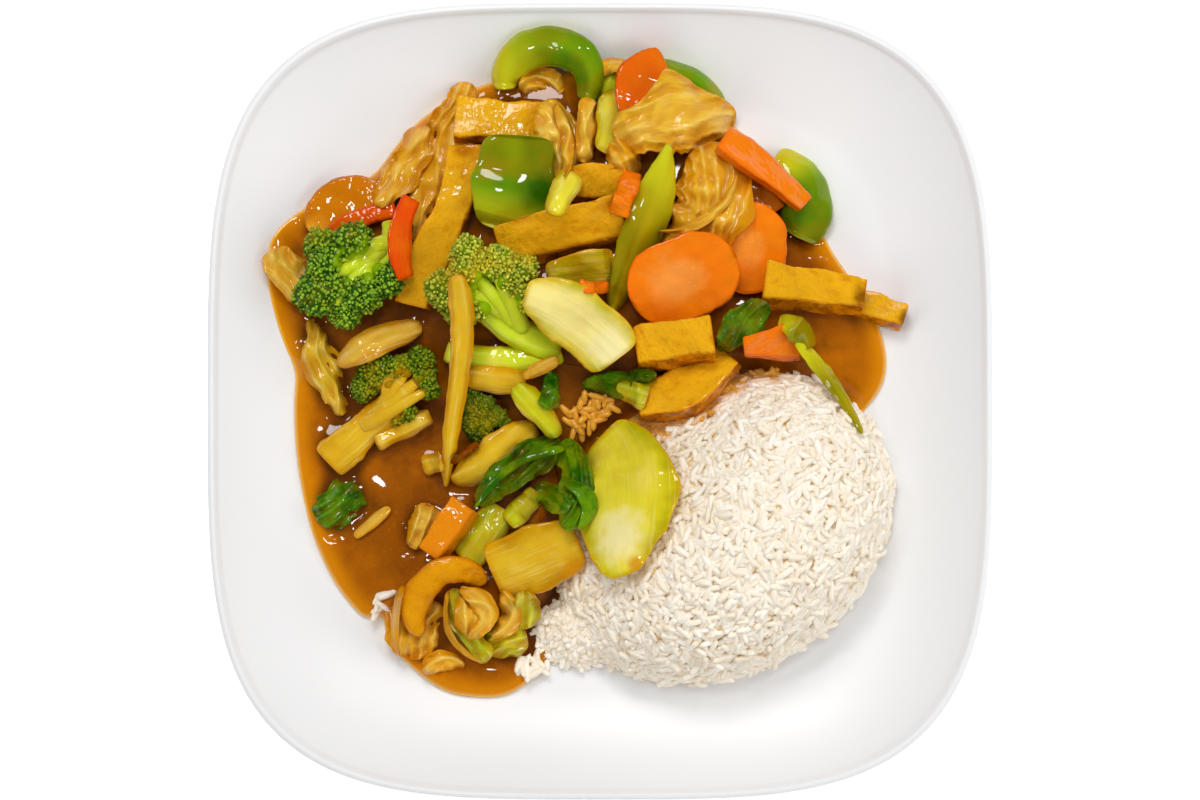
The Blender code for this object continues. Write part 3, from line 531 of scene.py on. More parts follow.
# %% [markdown]
# ## Finding each piece's seat
# The solid of a piece leans and sags onto what is under it. The same coarse surface is made here
# lying flat: its points have the same places on the plate, so the difference in height at each
# ring is the seat. Along a ring that difference is a level plus a slope, which the fine surface
# then follows.

# %% The surface of a piece, and its seat
FINE_RINGS = 80
FINE_SIDES = 76
CUT_ROUND = 1.1
SKEW = {
    # how far a piece's top leans over one side, so that the cut face of the other side shows
    "tofu_centre": 0.26, "tofu_cube": 0.3, "tofu_bar": 0.25, "tofu_stick": 0.35, "tofu_stub": 0.3,
    "slab_back": 0.16, "tofu_long": -0.14, "tofu_back": 0.2,
    "carrot_stick": -0.3, "carrot_wedge": 0.2, "carrot_fan": 0.15,
}
RIDGE = (
    # a pepper chunk's fold: places along it, and how far it rises there in millimetres
    (0, 0.1, 0.22, 0.3, 0.36, 0.62, 0.7, 1),
    (-1.8, 0.2, 1.3, 1.6, 1.4, -1.3, -1.7, -1.9),
)
FOLD_WIDTH = 4.6
FOLD_RISE = 0.95
CUT_KINDS = 3.0
CORNER_POINTS = 60
FACE_POINTS = 200
WALL_POINTS = 20
CORNER_SHARE = 0.35
SAME_SPOT = 0.03
RIM_WIDTH = 1.6


def along(line, part):
    """Points on a smooth curve through a line's points, and its direction there: one cubic, or a
    lower curve for fewer points, for each of x and y over the distance along the line."""
    line = np.asarray(line, float)
    steps = np.hypot(*np.diff(line, axis=0).T)
    place = np.concatenate([[0.0], np.cumsum(steps)]) / steps.sum()
    power = min(len(line) - 1, 3)
    curves = [np.polyfit(place, line[:, axis], power) for axis in (0, 1)]
    spot = np.stack([np.polyval(curve, part) for curve in curves], axis=-1)
    way = np.stack([np.polyval(np.polyder(curve), part) for curve in curves], axis=-1)
    return spot, way / np.linalg.norm(way, axis=-1, keepdims=True), place


def raised(part, across, kind, phase):
    """Height of a piece's middle face: bow, cup and two crossing waves."""
    bow = kind["bow"] * (1 - (2 * part - 1) ** 2)
    cup = kind["cup"] * across ** 2
    wave = np.sin(8.5 * part + phase) * np.cos(2.2 * across + 0.7 * phase)
    fine = np.sin(14 * part + 2.3 * phase) * np.sin(3.1 * across + phase)
    return bow + cup + kind["wave"] * (0.65 * wave + 0.35 * fine)


def powered(turn, power):
    """Cosine and sine raised to a power with their signs kept: a rounded square."""
    wave = np.stack([np.cos(turn), np.sin(turn)])
    return np.sign(wave) * np.abs(wave) ** (2 / power)


def cut_outline(wide, thick, sides):
    """Round a section that a knife left: straight faces and corners of one small radius, as parts
    of the half width and half thickness. A quarter of it is mirrored to make the rest."""
    half, deep = wide / 2, thick / 2
    corner = min(CUT_ROUND, 0.8 * deep)
    turn = np.linspace(0, np.pi / 2, CORNER_POINTS)
    flat_x = np.linspace(half - corner, 0, FACE_POINTS)
    flat_y = np.linspace(0, deep - corner, WALL_POINTS)
    x = np.concatenate([np.full(WALL_POINTS, half), half - corner + corner * np.cos(turn), flat_x])
    y = np.concatenate([flat_y, deep - corner + corner * np.sin(turn), np.full(FACE_POINTS, deep)])
    bent = np.concatenate([np.zeros(WALL_POINTS), turn, np.full(FACE_POINTS, np.pi / 2)])
    walked = np.append(0.0, np.hypot(np.diff(x), np.diff(y)).cumsum())
    measure = walked / walked[-1] + CORNER_SHARE * bent / bent[-1]
    steps = np.linspace(0, measure[-1], sides // 4 + 1)
    x = np.interp(steps, measure, x) / half
    y = np.interp(steps, measure, y) / deep
    across = np.concatenate([x[:-1], -x[:0:-1], -x[:-1], x[:0:-1]])
    above = np.concatenate([y[:-1], y[:0:-1], -y[:-1], -y[:0:-1]])
    return np.stack([across, above])


def even_outline(power, sides):
    """Round a rounded square, with its points spaced evenly."""
    dense = np.linspace(0, 2 * np.pi, 2000)
    x, y = powered(dense, power)
    length = np.append(0.0, np.hypot(2 * np.diff(x), np.diff(y)).cumsum())
    return powered(np.interp(np.arange(sides) / sides * length[-1], length, dense), power)


def bar(line, widths, thick, kind, seed, rings, sides, coarse=False, skew=0.0):
    """The bent, rounded bar as arrays over rings and sides, with the place of each point on it. The
    fine one has crisp edges where the food was cut and a torn outline where it is a leaf."""
    part = 0.5 - 0.5 * np.cos(np.pi * np.arange(1, rings) / rings)
    spot, way, place = along(line, part)
    length = np.hypot(*np.diff(np.asarray(line, float), axis=0).T).sum()
    cut = not coarse and kind["section"] > CUT_KINDS
    crisp = 0.95 * length / CUT_ROUND if cut else BLUNT
    ends = crisp if cut and kind["skin"] in SQUARE_CUT and kind["ends"] > 4 else kind["ends"]
    full = (1 - np.abs(2 * part - 1) ** ends) ** (1 / ends)
    blunt = (1 - np.abs(2 * part - 1) ** crisp) ** (1 / crisp)
    if coarse:
        across, above = powered(2 * np.pi * np.arange(sides) / sides, kind["section"])
    elif cut:
        across, above = cut_outline(np.mean(widths), thick, sides)
    else:
        across, above = even_outline(kind["section"], sides)
    phase = 1.7 * seed
    uneven = 1 + 0.05 * np.sin(9 * part + phase)
    half = np.interp(part, place, widths) / 2 * full * uneven
    ragged = 0.0 if coarse else kind.get("torn", 0.02)
    torn = [1 + ragged * (waves(spot, 11.0, seed + 900 + edge) + 0.3 * waves(spot, 3.6, seed + 950 + edge))
            for edge in (0, 1)]
    leant = (across + skew * above) / (1 + abs(skew))
    reach = np.where(across[None, :] > 0, torn[0][:, None], torn[1][:, None]) * leant[None, :]
    side_way = np.stack([-way[:, 1], way[:, 0]], axis=1)
    flat = spot[:, None, :] + side_way[:, None, :] * (half[:, None] * reach)[..., None]
    middle = raised(part[:, None], across[None, :], kind, phase)
    height = thick / 2 * blunt[:, None] * above[None, :] + middle
    ends_at, _, _ = along(line, np.array([0.0, 1.0]))
    poles = np.array([(*ends_at[i], raised(float(i), 0.0, kind, phase)) for i in (0, 1)])
    return dict(part=part, across=across, above=above, half=half, flat=flat, height=height, poles=poles,
                length=length)


def points_of(thing):
    """The points of an object's mesh in metres, as Blender stores them."""
    spots = np.zeros(len(thing.data.vertices) * 3, np.float32)
    thing.data.vertices.foreach_get("co", spots)
    return spots.reshape(-1, 3)


def node_points(name):
    """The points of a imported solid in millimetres, each once."""
    spots = points_of(frame["nodes"][name]).astype(float) / MM
    return np.unique(np.round(spots, 2), axis=0)


def heights_over(solid, spots):
    """Mean height of a solid's points right over or under each spot, and nan where it has none."""
    away = np.hypot(solid[:, 0] - spots[..., None, 0], solid[:, 1] - spots[..., None, 1])
    near = away < SAME_SPOT
    count = near.sum(axis=-1)
    return np.where(count > 0, (near * solid[:, 2]).sum(axis=-1) / np.maximum(count, 1), np.nan)


def seat(name, line, widths, thick, kind, seed):
    """Level and slope of a piece's seat at each ring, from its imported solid. A point and its mirror
    point on the lower face share a place on the plate, so their heights are averaged."""
    flat = bar(line, widths, thick, kind, seed, kind["rings"], kind["sides"], coarse=True)
    solid = node_points(name)
    mirror = -np.arange(kind["sides"]) % kind["sides"]
    middle = (flat["height"] + flat["height"][:, mirror]) / 2
    lift = heights_over(solid, flat["flat"]) - middle
    across = flat["across"]
    level = np.nanmean(lift, axis=1)
    slope = np.nansum((lift - level[:, None]) * across, axis=1) / (across ** 2).sum()
    poles = heights_over(solid, flat["poles"][:, :2]) - flat["poles"][:, 2]
    part = np.concatenate([[0.0], flat["part"], [1.0]])
    level = np.concatenate([poles[:1], level, poles[1:]])
    return part, level, np.concatenate([slope[:1], slope, slope[-1:]])


def relief(kind, spots, own, seed):
    """Small changes of a surface by its skin: how far it swells, and how far its middle rises."""
    still = np.zeros(spots.shape[:-1])
    skin = kind["skin"]
    run = own[..., 0] / own[..., 0].max()
    if skin == "tofu":
        pits = np.clip(waves(spots, 3.0, seed) - 0.8, 0, None)
        return 0.25 * waves(spots, 9.0, seed + 1) + 0.08 * waves(spots, 1.9, seed + 2) - 0.3 * pits, still
    if skin == "carrot":
        return 0.16 * waves(spots, 8.0, seed) + 0.05 * waves(spots, 1.8, seed + 1), still
    if skin == "pepper":
        arch = 3.2 * (0.5 - (2 * run - 1) ** 2) - 0.16 * np.abs(own[..., 1] + 2)
        return 0.12 * waves(spots, 10.0, seed), arch + 0.4 * waves(own, 15.0, seed + 1)
    if skin == "ridge":
        fold = np.interp(run, *RIDGE)
        return 0.05 * waves(spots, 9.0, seed), fold + 0.12 * waves(own, 14.0, seed + 1)
    if skin == "stem":
        ribs = waves(own * (0.12, 1.0), 3.2, seed)
        return 0.1 * ribs + 0.06 * waves(spots, 5.0, seed + 1), 0.5 * waves(own, 17.0, seed + 2)
    if skin == "leaf":
        bent = own[..., 1] / FOLD_WIDTH + 0.6 * waves(own, 30.0, seed)
        folds = FOLD_RISE * (1 - 2 * np.abs(np.sin(np.pi * bent)))
        small = waves(own * (0.45, 1.0), 2.8, seed + 1)
        lift = folds + 0.32 * small + 0.7 * waves(own, 11.0, seed + 3)
        return 0.05 * waves(spots, 2.0, seed + 2), lift
    return 0.1 * waves(spots, 5.0, seed), 0.2 * waves(own, 12.0, seed + 1)


def make_piece(seed, name, line, widths, thick, kind, seated=seat, rings=FINE_RINGS, sides=FINE_SIDES):
    """The fine surface of one piece on its seat."""
    fine = bar(line, widths, thick, kind, seed, rings, sides, skew=SKEW.get(name, 0.0))
    part, across, above = fine["part"][:, None], fine["across"][None, :], fine["above"][None, :]
    along_mm = np.broadcast_to(part * fine["length"], fine["height"].shape)
    across_mm = fine["half"][:, None] * across
    at, level, slope = seated(name, line, widths, thick, kind, seed)
    height = fine["height"] + np.interp(fine["part"], at, level)[:, None]
    height = height + np.interp(fine["part"], at, slope)[:, None] * across
    spots = np.concatenate([fine["flat"], height[..., None]], axis=2)
    own = np.stack([along_mm, across_mm], axis=-1)
    swell, lift = relief(kind, spots, own, 50 + 7 * seed)
    fade = smooth_step((1 - np.abs(2 * part - 1)) * 12)
    round_way = np.roll(spots, -1, axis=1) - np.roll(spots, 1, axis=1)
    out = np.cross(np.gradient(spots, axis=0), round_way)
    out /= np.maximum(np.linalg.norm(out, axis=2, keepdims=True), 1e-9)
    if (out[..., 2] * above).sum() < 0:
        out = -out
    spots = spots + out * (swell * fade)[..., None]
    spots[..., 2] += lift * fade
    poles = fine["poles"].copy()
    poles[:, 2] += level[[0, -1]]
    points = np.concatenate([spots.reshape(-1, 3), poles])
    side_gap = (1 - np.abs(across)) * fine["half"][:, None]
    end_gap = np.minimum(part, 1 - part) * fine["length"]
    rim = np.exp(-np.minimum(side_gap, end_gap) / RIM_WIDTH)
    lie = np.stack([along_mm, across_mm, above * thick / 2 * np.ones_like(part)], axis=2).reshape(-1, 3)
    hollow = np.append(-(2 * swell + lift).ravel(), [0.0, 0.0])
    wall = 1 - smooth_step((above - 0.55) / 0.4) * np.ones_like(part)
    fields = {
        "lie": np.concatenate([lie, [[0.0, 0.0, 0.0], [fine["length"], 0.0, 0.0]]]),
        "wall": np.append(wall.ravel(), [1.0, 1.0]),
        "rim": np.append(rim.ravel(), [1.0, 1.0]),
        "hollow": hollow,
        "run": np.append((part * np.ones_like(across)).ravel(), [0.0, 1.0]),
        "cross": np.append((across * np.ones_like(part)).ravel(), [0.0, 0.0]),
    }
    quads, ends = tube_faces(rings - 1, sides)
    return mesh_object(name + "_food", points, quads, ends, fields)


print("triangles a piece:", 2 * FINE_RINGS * FINE_SIDES)

# %% [markdown]
# ## What cut food looks like
# All of it is wet: a film of sauce gives a clear coat whose thickness varies, so highlights break
# up. Under the film each food has its own grain. Carrot is even and bright, fried tofu is golden
# with brown edges and pores, pepper is waxy and green, stems and cabbage have long pale fibres,
# and leaves have dark patches. Each finish is one recipe that takes the colours of its piece.

# %% Finishes of cut food
GLAZE = srgb(222, 148, 4)
GLAZE_DEEP = srgb(196, 110, 0)
CREAM = srgb(255, 242, 176)
BURNT = srgb(128, 62, 4)
PAINT = {
    # piece: spots that differ, each with its place on the plate, its reach and its colour
    # The bok choy stem's cream spot is its paler part with a painted highlight on it.
    "bokchoy_stem": (((7, -45), 12, CREAM), ((12, -54), 4, GLAZE)),
    "bokchoy_base": (((-8, -57), 7, GLAZE),),
    # The pepper chunk's glaze patch is sauce. Its dark green spot is painted shade, where the chunk folds
    # away from the light.
    "pepper_chunk": (((-37, 78), 7, srgb(150, 128, 8)), ((-20, 70), 8, srgb(38, 96, 0))),
    "napa_stem": (((3, 19), 9, CREAM),),
    "cabbage_end": (((-97, 40), 7, CREAM),),
    # The carrot top's pale spot is its paler heart with a painted sheen of the wet face.
    "carrot_top": (((24, 40), 12, srgb(255, 156, 64)),),
    "tofu_stick": (((88, 35), 5, BURNT),),
    "tofu_stub": (((103, 28), 4, BURNT),),
    "tofu_long": (((-46, 84), 4, GLAZE_DEEP),),
    "golden_round": (((-96, 56), 8, srgb(250, 176, 40)),),
}


def wet(name, **constants):
    """A recipe for food under a thin clear film: only the film mirrors the lamps."""
    settings = dict(Coat_Roughness=0.04, Coat_IOR=1.45, Specular_IOR_Level=0.0)
    settings.update(constants)
    return Recipe(name, **settings)


def glazed(recipe, colour, amount):
    """A colour under the sauce that clings to it: patches of glaze, and deeper glaze in hollows, for sauce
    pooled there and as painted shade.
    """
    patch = recipe.noise(recipe.place(), 0.07, 4.0, 0.6).between(0.4, 0.72)
    colour = recipe.blend(patch * amount, colour, GLAZE)
    # Painted shade as well as pooled sauce: the hollows take the deep glaze colour.
    hollow = recipe.value("hollow").between(0.15, 1.3)
    colour = recipe.blend(hollow * min(1.0, amount * 1.2), colour, GLAZE_DEEP)
    for spot, reach, paint in PAINT.get(recipe.material.name, ()):
        colour = recipe.blend(recipe.near(spot, reach) * 0.85, colour, paint)
    return colour


def carrot_finish(name, pale, deep, heart=0.0):
    """Carrot: deeper at its rim, with painted shade on its walls. A round slice has a paler heart, with
    specks of painted highlight on it.
    """
    recipe = wet(name, Coat_Weight=1.0)
    place = recipe.place()
    rim = recipe.value("rim").between(0.35, 0.9)
    mottle = recipe.noise(place, 0.35, 5.0, 0.7)
    colour = recipe.blend(rim * 0.5 + mottle * 0.35, pale, deep)
    # Painted shade: the walls and the lower face are darker than the top face, as if turned from the lamps.
    colour = recipe.blend(recipe.value("wall") * 0.6, colour, deep)
    end = recipe.value("run") * 2.0 - 1.0
    out = (end * end + recipe.value("cross") * recipe.value("cross")) ** 0.5
    core = 1 - (out + mottle * 0.25).between(0.42, 0.66)
    colour = recipe.blend(core * heart, colour, srgb(255, 166, 70))
    # Painted highlight: whitish specks on the heart stand for glints on the wet cut face.
    painted_glint_specks = recipe.noise(place, 1.1, 4.0, 0.7).between(0.56, 0.68)
    colour = recipe.blend(painted_glint_specks * core * heart, colour, srgb(255, 206, 150))
    fibre = recipe.noise(recipe.lie((0.35, 1.6, 1.0)), 1.2, 4.0)
    film = recipe.noise(place, 0.3, 4.0, 0.6)
    normal = recipe.bump(fibre * 0.6 + film, 0.4, 0.7)
    return recipe.finish(glazed(recipe, colour, 0.25), 0.35 + mottle * 0.15, normal)


def tofu_finish(name, pale, deep):
    """Fried tofu: golden, browner in patches and at its edges, burnt at the sharpest ones, with painted shade
    on its walls.
    """
    recipe = wet(name, Coat_Roughness=0.09)
    place = recipe.place()
    crust = recipe.noise(place, 0.18, 6.0, 0.7)
    rim = recipe.value("rim").between(0.5, 0.95)
    brown = (rim * 0.7 + crust.between(0.5, 0.72) * 0.6).math("MINIMUM", 1.0)
    colour = recipe.blend(brown, pale, deep)
    burnt = recipe.value("rim").between(0.84, 1.0) * crust.between(0.42, 0.6)
    # Painted shade: the walls and the lower face take some of the deep colour, as if turned from the lamps.
    colour = recipe.blend(recipe.value("wall") * 0.5, colour, deep)
    colour = recipe.blend(burnt * 0.75, colour, BURNT)
    pores = recipe.noise(place, 0.7, 6.0, 0.75)
    colour = recipe.blend(pores.between(0.6, 0.72) * 0.35, colour, BURNT)
    normal = recipe.bump(pores, 0.9, 0.9)
    shine = recipe.noise(place, 0.1, 3.0).between(0.42, 0.6)
    return recipe.finish(glazed(recipe, colour, 0.25), 0.4 + crust * 0.2, normal, 0.4 + shine * 0.6)


def pepper_finish(name, pale, deep):
    """Pepper skin: waxy, in broad panels of pale and deep green, with painted light and shade making one side
    paler than the other, and yellower ends and cut edges.
    """
    recipe = wet(name, Coat_Roughness=0.05, Coat_Weight=1.0)
    patch = recipe.noise(recipe.lie((0.6, 1.0, 1.0)), 0.05, 2.0).between(0.36, 0.64)
    # Painted light and shade of a fold: the side where cross is higher is paler, and the other side is
    # deeper.
    painted_fold_light = recipe.value("cross").between(-0.35, 0.15)
    colour = recipe.blend(patch * 0.35 + painted_fold_light * 0.45, deep, pale)
    low = 1 - recipe.value("run").between(0.08, 0.5)
    colour = recipe.blend(low * 0.8, colour, srgb(216, 216, 30))
    rim = recipe.value("rim").between(0.8, 1.0)
    colour = recipe.blend(rim * 0.45, colour, srgb(190, 196, 30))
    skin = recipe.noise(recipe.place(), 0.2, 4.0)
    return recipe.finish(glazed(recipe, colour, 0.16), 0.25 + patch * 0.1, recipe.bump(skin, 0.3, 0.5))


def stem_finish(name, pale, deep, heart=None, amount=0.35):
    """Stems and pale leaves: long fibres, a lighter heart, pale ridges that are partly pale ribs and partly
    painted highlight, and a glazed rim.
    """
    recipe = wet(name, Coat_Weight=0.9)
    fibre = recipe.noise(recipe.lie((0.05, 1.0, 0.4)), 0.8, 5.0, 0.7)
    cloud = recipe.noise(recipe.place(), 0.06, 3.0).between(0.36, 0.66)
    colour = recipe.blend(cloud, deep, pale)
    side = recipe.value("cross").math("ABSOLUTE")
    inner = (1 - side.between(0.35, 0.95)) * (1 - recipe.value("rim").between(0.2, 0.8))
    colour = recipe.blend(inner * 0.8, colour, heart or pale)
    # Partly painted highlight: the ridges of the relief are paler, as ribs that catch the light.
    ridge = 1 - recipe.value("hollow").between(-1.3, -0.2)
    colour = recipe.blend(ridge * 0.4, colour, srgb(255, 226, 116))
    rim = recipe.value("rim").between(0.25, 0.95)
    colour = recipe.blend(rim * 0.5, colour, GLAZE)
    lines = fibre.between(0.52, 0.74)
    colour = recipe.blend(lines * 0.4, colour, srgb(255, 240, 150))
    colour = recipe.blend((1 - fibre).between(0.58, 0.75) * 0.3, colour, deep)
    film = recipe.noise(recipe.place(), 0.3, 4.0, 0.6)
    normal = recipe.bump(fibre + film * 0.7, 0.45, 0.6)
    return recipe.finish(glazed(recipe, colour, amount), 0.3 + fibre * 0.15, normal)


def leaf_finish(name, pale, deep):
    """Green leaves: dark patches and paler veins under a full film of sauce."""
    recipe = wet(name, Coat_Weight=1.0)
    place = recipe.place()
    patch = recipe.noise(place, 0.1, 4.0, 0.6).between(0.35, 0.65)
    veins = recipe.noise(recipe.lie((0.3, 1.0, 1.0)), 0.6, 5.0, 0.75)
    colour = recipe.blend(patch * 0.7, deep, pale)
    colour = recipe.blend(veins.between(0.58, 0.7) * 0.5, colour, pale)
    normal = recipe.bump(veins + recipe.noise(place, 0.3, 3.0), 0.6, 0.6)
    return recipe.finish(glazed(recipe, colour, 0.12), 0.28 + patch * 0.12, normal)


print("finishes of cut food ready")

# %% [markdown]
# ## Colours
# Every piece has a pale and a deep colour, matched to the real food. A stem may have a
# third one for its heart and an amount of glaze, and a round carrot slice says how strongly its
# heart shows.

# %% Colours and finishes of the pieces
ORANGE = (srgb(255, 132, 14), srgb(230, 92, 0))
DISC = (*ORANGE, 0.45)
AMBER = (srgb(216, 126, 0), srgb(180, 86, 0))
RUST = (srgb(238, 106, 6), srgb(206, 76, 0))
HONEY = (srgb(240, 142, 16), srgb(206, 104, 0))
RED = (srgb(240, 84, 4), srgb(204, 40, 0))
GOLD = (srgb(246, 166, 14), srgb(212, 118, 0))
CRUST = (srgb(255, 188, 26), srgb(226, 128, 4))
GREEN = (srgb(122, 166, 6), srgb(34, 96, 0))
OLIVE = (srgb(182, 166, 10), srgb(118, 120, 0))
NAPA = (srgb(232, 178, 32), srgb(208, 142, 6), srgb(242, 196, 64), 0.3)
SOAKED = (srgb(224, 154, 6), srgb(184, 106, 0), srgb(238, 182, 36))
STRAW = (srgb(218, 170, 6), srgb(184, 128, 0), srgb(232, 190, 40))
LIME = (srgb(188, 196, 4), srgb(136, 152, 0), srgb(212, 212, 30))
DARK = (srgb(104, 160, 20), srgb(22, 80, 0))
TAN = (srgb(220, 158, 30), srgb(176, 112, 4), srgb(232, 186, 66))
FRESH = (srgb(232, 208, 56), srgb(176, 170, 4), srgb(255, 240, 156), 0.12)
CHOY = (srgb(224, 208, 8), srgb(186, 176, 0), srgb(242, 226, 60), 0.12)
SOOTY = (srgb(150, 66, 4), srgb(92, 30, 0))

LOOKS = {
    carrot_finish: {
        "golden_round": AMBER, "red_sliver": RED, "carrot_flat": AMBER, "carrot_stick": HONEY,
        "carrot_diamond": RUST, "carrot_low": DISC, "carrot_wedge": ORANGE, "red_piece": RED,
        "carrot_top": DISC, "carrot_fan": ORANGE,
    },
    tofu_finish: {
        "slab_back": CRUST, "tofu_stub": CRUST, "tofu_back": CRUST, "tofu_long": CRUST,
        "tofu_centre": CRUST, "tofu_stick": CRUST, "tofu_bar": CRUST, "tofu_cube": CRUST,
        "golden_band": GOLD,
    },
    pepper_finish: {
        "pepper_back": GREEN, "pepper_curl": GREEN, "pepper_right": GREEN, "pepper_chunk": GREEN,
        "pepper_thread": OLIVE, "celery_lens": OLIVE,
    },
    leaf_finish: {
        "scallion_bit": DARK, "dark_leaf": DARK, "bokchoy_leaf": DARK, "bokchoy_lobe": GREEN,
    },
    stem_finish: {
        "yellow_plank": LIME, "celery_plank": (*OLIVE, OLIVE[0]), "bokchoy_base": STRAW, "bokchoy_stem": CHOY,
        "yellow_strip": STRAW, "long_strip": STRAW, "ring_bit": LIME, "cabbage_end": NAPA,
        "cabbage_strip": STRAW, "napa_left": SOAKED, "cabbage_crumple": SOAKED, "cabbage_bit": NAPA,
        "cabbage_fork": LIME, "cabbage_core": NAPA, "napa_frill": NAPA, "napa_finger": NAPA,
        "onion_petal": CHOY, "napa_large": NAPA, "napa_crumple": SOAKED, "onion_wedge": CHOY,
        "napa_stem": FRESH, "tan_slice": TAN, "yellow_slice": STRAW, "green_stalk": LIME,
    },
}

slot_of = {row["node"]: row["material_slot"] for row in frame["record"]["subparts"]}
for seed, row in enumerate(PIECES):
    name = row[0]
    piece = make_piece(seed, *row)
    for finish, names in LOOKS.items():
        if name in names:
            piece.data.materials.append(finish(name, *names[name]))
    dress(piece, name, slot_of[name])
print("pieces made:", len(PIECES))

# %% [markdown]
# ## The rice
# The rice was pressed in a bowl and turned out, so it keeps the bowl's round top, but its skin is
# loose grains lying every way. One bumpy core fills the inside, and thousands of real grains lie
# on it. Their places come from a spiral that covers a round evenly, and each grain lies along the
# slope, turned at random and tipped a little. Light passes through cooked rice, so the gaps
# between the grains are warm and never black: a faint painted glow on the grains and a warm core,
# painted a darker cream as painted shade in the gaps, stand for that.

# %% The dome of rice
RICE_CENTRE = (42.0, -43.0)
RICE_RADII = (61.0, 48.0)
RICE_TURN = math.radians(35)
RICE_HEIGHT = 41.0
RICE_ROUND = 2.6
RICE_STEEP = 0.6
SLUMP_SIDE = (-0.9, 0.45)
SLUMP_REACH = 45.0
SLUMP = 0.5
RICE_FOOT = 1.2
SPILL_CENTRE = (-6.0, -78.0)
SPILL_RADII = (14.0, 10.0)
SPILL_HEAP = 7.5
GRAIN = (7.3, 2.3)
CORE_SUNK = 1.7
GRAIN_CLEAR = 0.2
GOLDEN = math.pi * (3 - math.sqrt(5))


def rice_reach(x, y):
    """0 in the middle of the rice and 1 at its foot."""
    away_x, away_y = x - RICE_CENTRE[0], y - RICE_CENTRE[1]
    u = away_x * math.cos(RICE_TURN) + away_y * math.sin(RICE_TURN)
    v = -away_x * math.sin(RICE_TURN) + away_y * math.cos(RICE_TURN)
    return np.hypot(u / RICE_RADII[0], v / RICE_RADII[1])


def rice_top(x, y):
    """A steep-sided dome, slumped towards the curry."""
    reach = np.clip(rice_reach(x, y), 0, 1)
    dome = RICE_HEIGHT * (1 - reach ** RICE_ROUND) ** RICE_STEEP
    side = (x - RICE_CENTRE[0]) * SLUMP_SIDE[0] + (y - RICE_CENTRE[1]) * SLUMP_SIDE[1]
    return plate_top(x, y) + RICE_FOOT + dome * (1 - SLUMP * smooth_step(side / SLUMP_REACH))


def rice_spot(part, turn):
    """The spot that is part of the way from the rice's middle to its foot."""
    u = part * np.cos(turn) * RICE_RADII[0]
    v = part * np.sin(turn) * RICE_RADII[1]
    x = RICE_CENTRE[0] + u * math.cos(RICE_TURN) - v * math.sin(RICE_TURN)
    y = RICE_CENTRE[1] + u * math.sin(RICE_TURN) + v * math.cos(RICE_TURN)
    return x, y


def arc_table():
    """Distance from the middle against the length walked down the dome."""
    part = np.sin(np.linspace(0, math.pi / 2, 600))
    height = RICE_HEIGHT * (1 - part ** RICE_ROUND) ** RICE_STEEP
    length = np.hypot(np.diff(part * RICE_RADII[0]), np.diff(height)).cumsum()
    return part, np.append(0, length) / length[-1]


def stain(spots):
    """How much sauce has soaked in: most on the side where the curry leans on the rice."""
    side = (spots[..., 0] - RICE_CENTRE[0]) * -0.5 + (spots[..., 1] - RICE_CENTRE[1]) * 0.87
    wobble = 2.5 * waves(spots[..., :2], 26.0, 5) + 1.5 * waves(spots[..., :2], 9.0, 6)
    return smooth_step((side + wobble - 35.5) / 2.5)


def make_rice_core():
    """The dome under the grains, pushed in and out by waves about as long as a grain."""
    rings, sides = 120, 200
    part_at, length_at = arc_table()
    part = np.interp(np.arange(1, rings + 1) / rings, length_at, part_at)
    turn = 2 * np.pi * np.arange(sides) / sides
    x, y = rice_spot(part[:, None], turn[None, :])
    spots = np.stack([x, y, rice_top(x, y)], axis=2)
    heart = np.array([*RICE_CENTRE, PLATE_FLOOR])
    away = spots - heart
    bump = 0.8 * waves(spots, 5.5, 3) + 0.3 * waves(spots, 2.4, 4)
    spots = heart + away * (1 + (bump - CORE_SUNK) / np.linalg.norm(away, axis=2))[..., None]
    foot = np.stack([x[-1], y[-1], plate_top(x[-1], y[-1]) + 0.05], axis=1)
    inner_x, inner_y = rice_spot(0.5, turn)
    inner = np.stack([inner_x, inner_y, np.full(sides, PLATE_FLOOR + 0.05)], axis=1)
    body = np.concatenate([spots.reshape(-1, 3), foot, inner])
    poles = [[*RICE_CENTRE, float(rice_top(*RICE_CENTRE)) - 1.0], [*RICE_CENTRE, PLATE_FLOOR + 0.05]]
    quads, ends = tube_faces(rings + 2, sides)
    points = np.concatenate([body, poles])
    fields = {"stain": stain(points), "shade": np.zeros(len(points))}
    return mesh_object("rice_core", points, quads[:, ::-1], ends[:, ::-1], fields)


def grain_turns(normal, chance, tip, length, width):
    """A 3 by 3 matrix for each grain: its long axis lies across the normal, turned at random and
    tipped, its width and depth are across it."""
    count = len(normal)
    spin = chance.uniform(0, 2 * np.pi, count)
    any_way = np.stack([np.cos(spin), np.sin(spin), np.zeros(count)], axis=1)
    flat = any_way - normal * (any_way * normal).sum(axis=1, keepdims=True)
    flat /= np.linalg.norm(flat, axis=1, keepdims=True)
    lean = chance.normal(0, tip, count)[:, None]
    long_way = flat * np.cos(lean) + normal * np.sin(lean)
    side_way = np.cross(normal, long_way)
    side_way /= np.linalg.norm(side_way, axis=1, keepdims=True)
    up_way = np.cross(long_way, side_way)
    sizes = chance.uniform(0.82, 1.15, (count, 2))
    return np.stack([
        long_way * (length / 2 * sizes[:, :1]),
        side_way * (width / 2 * sizes[:, 1:]),
        up_way * (width / 2 * sizes[:, 1:]),
    ], axis=2)


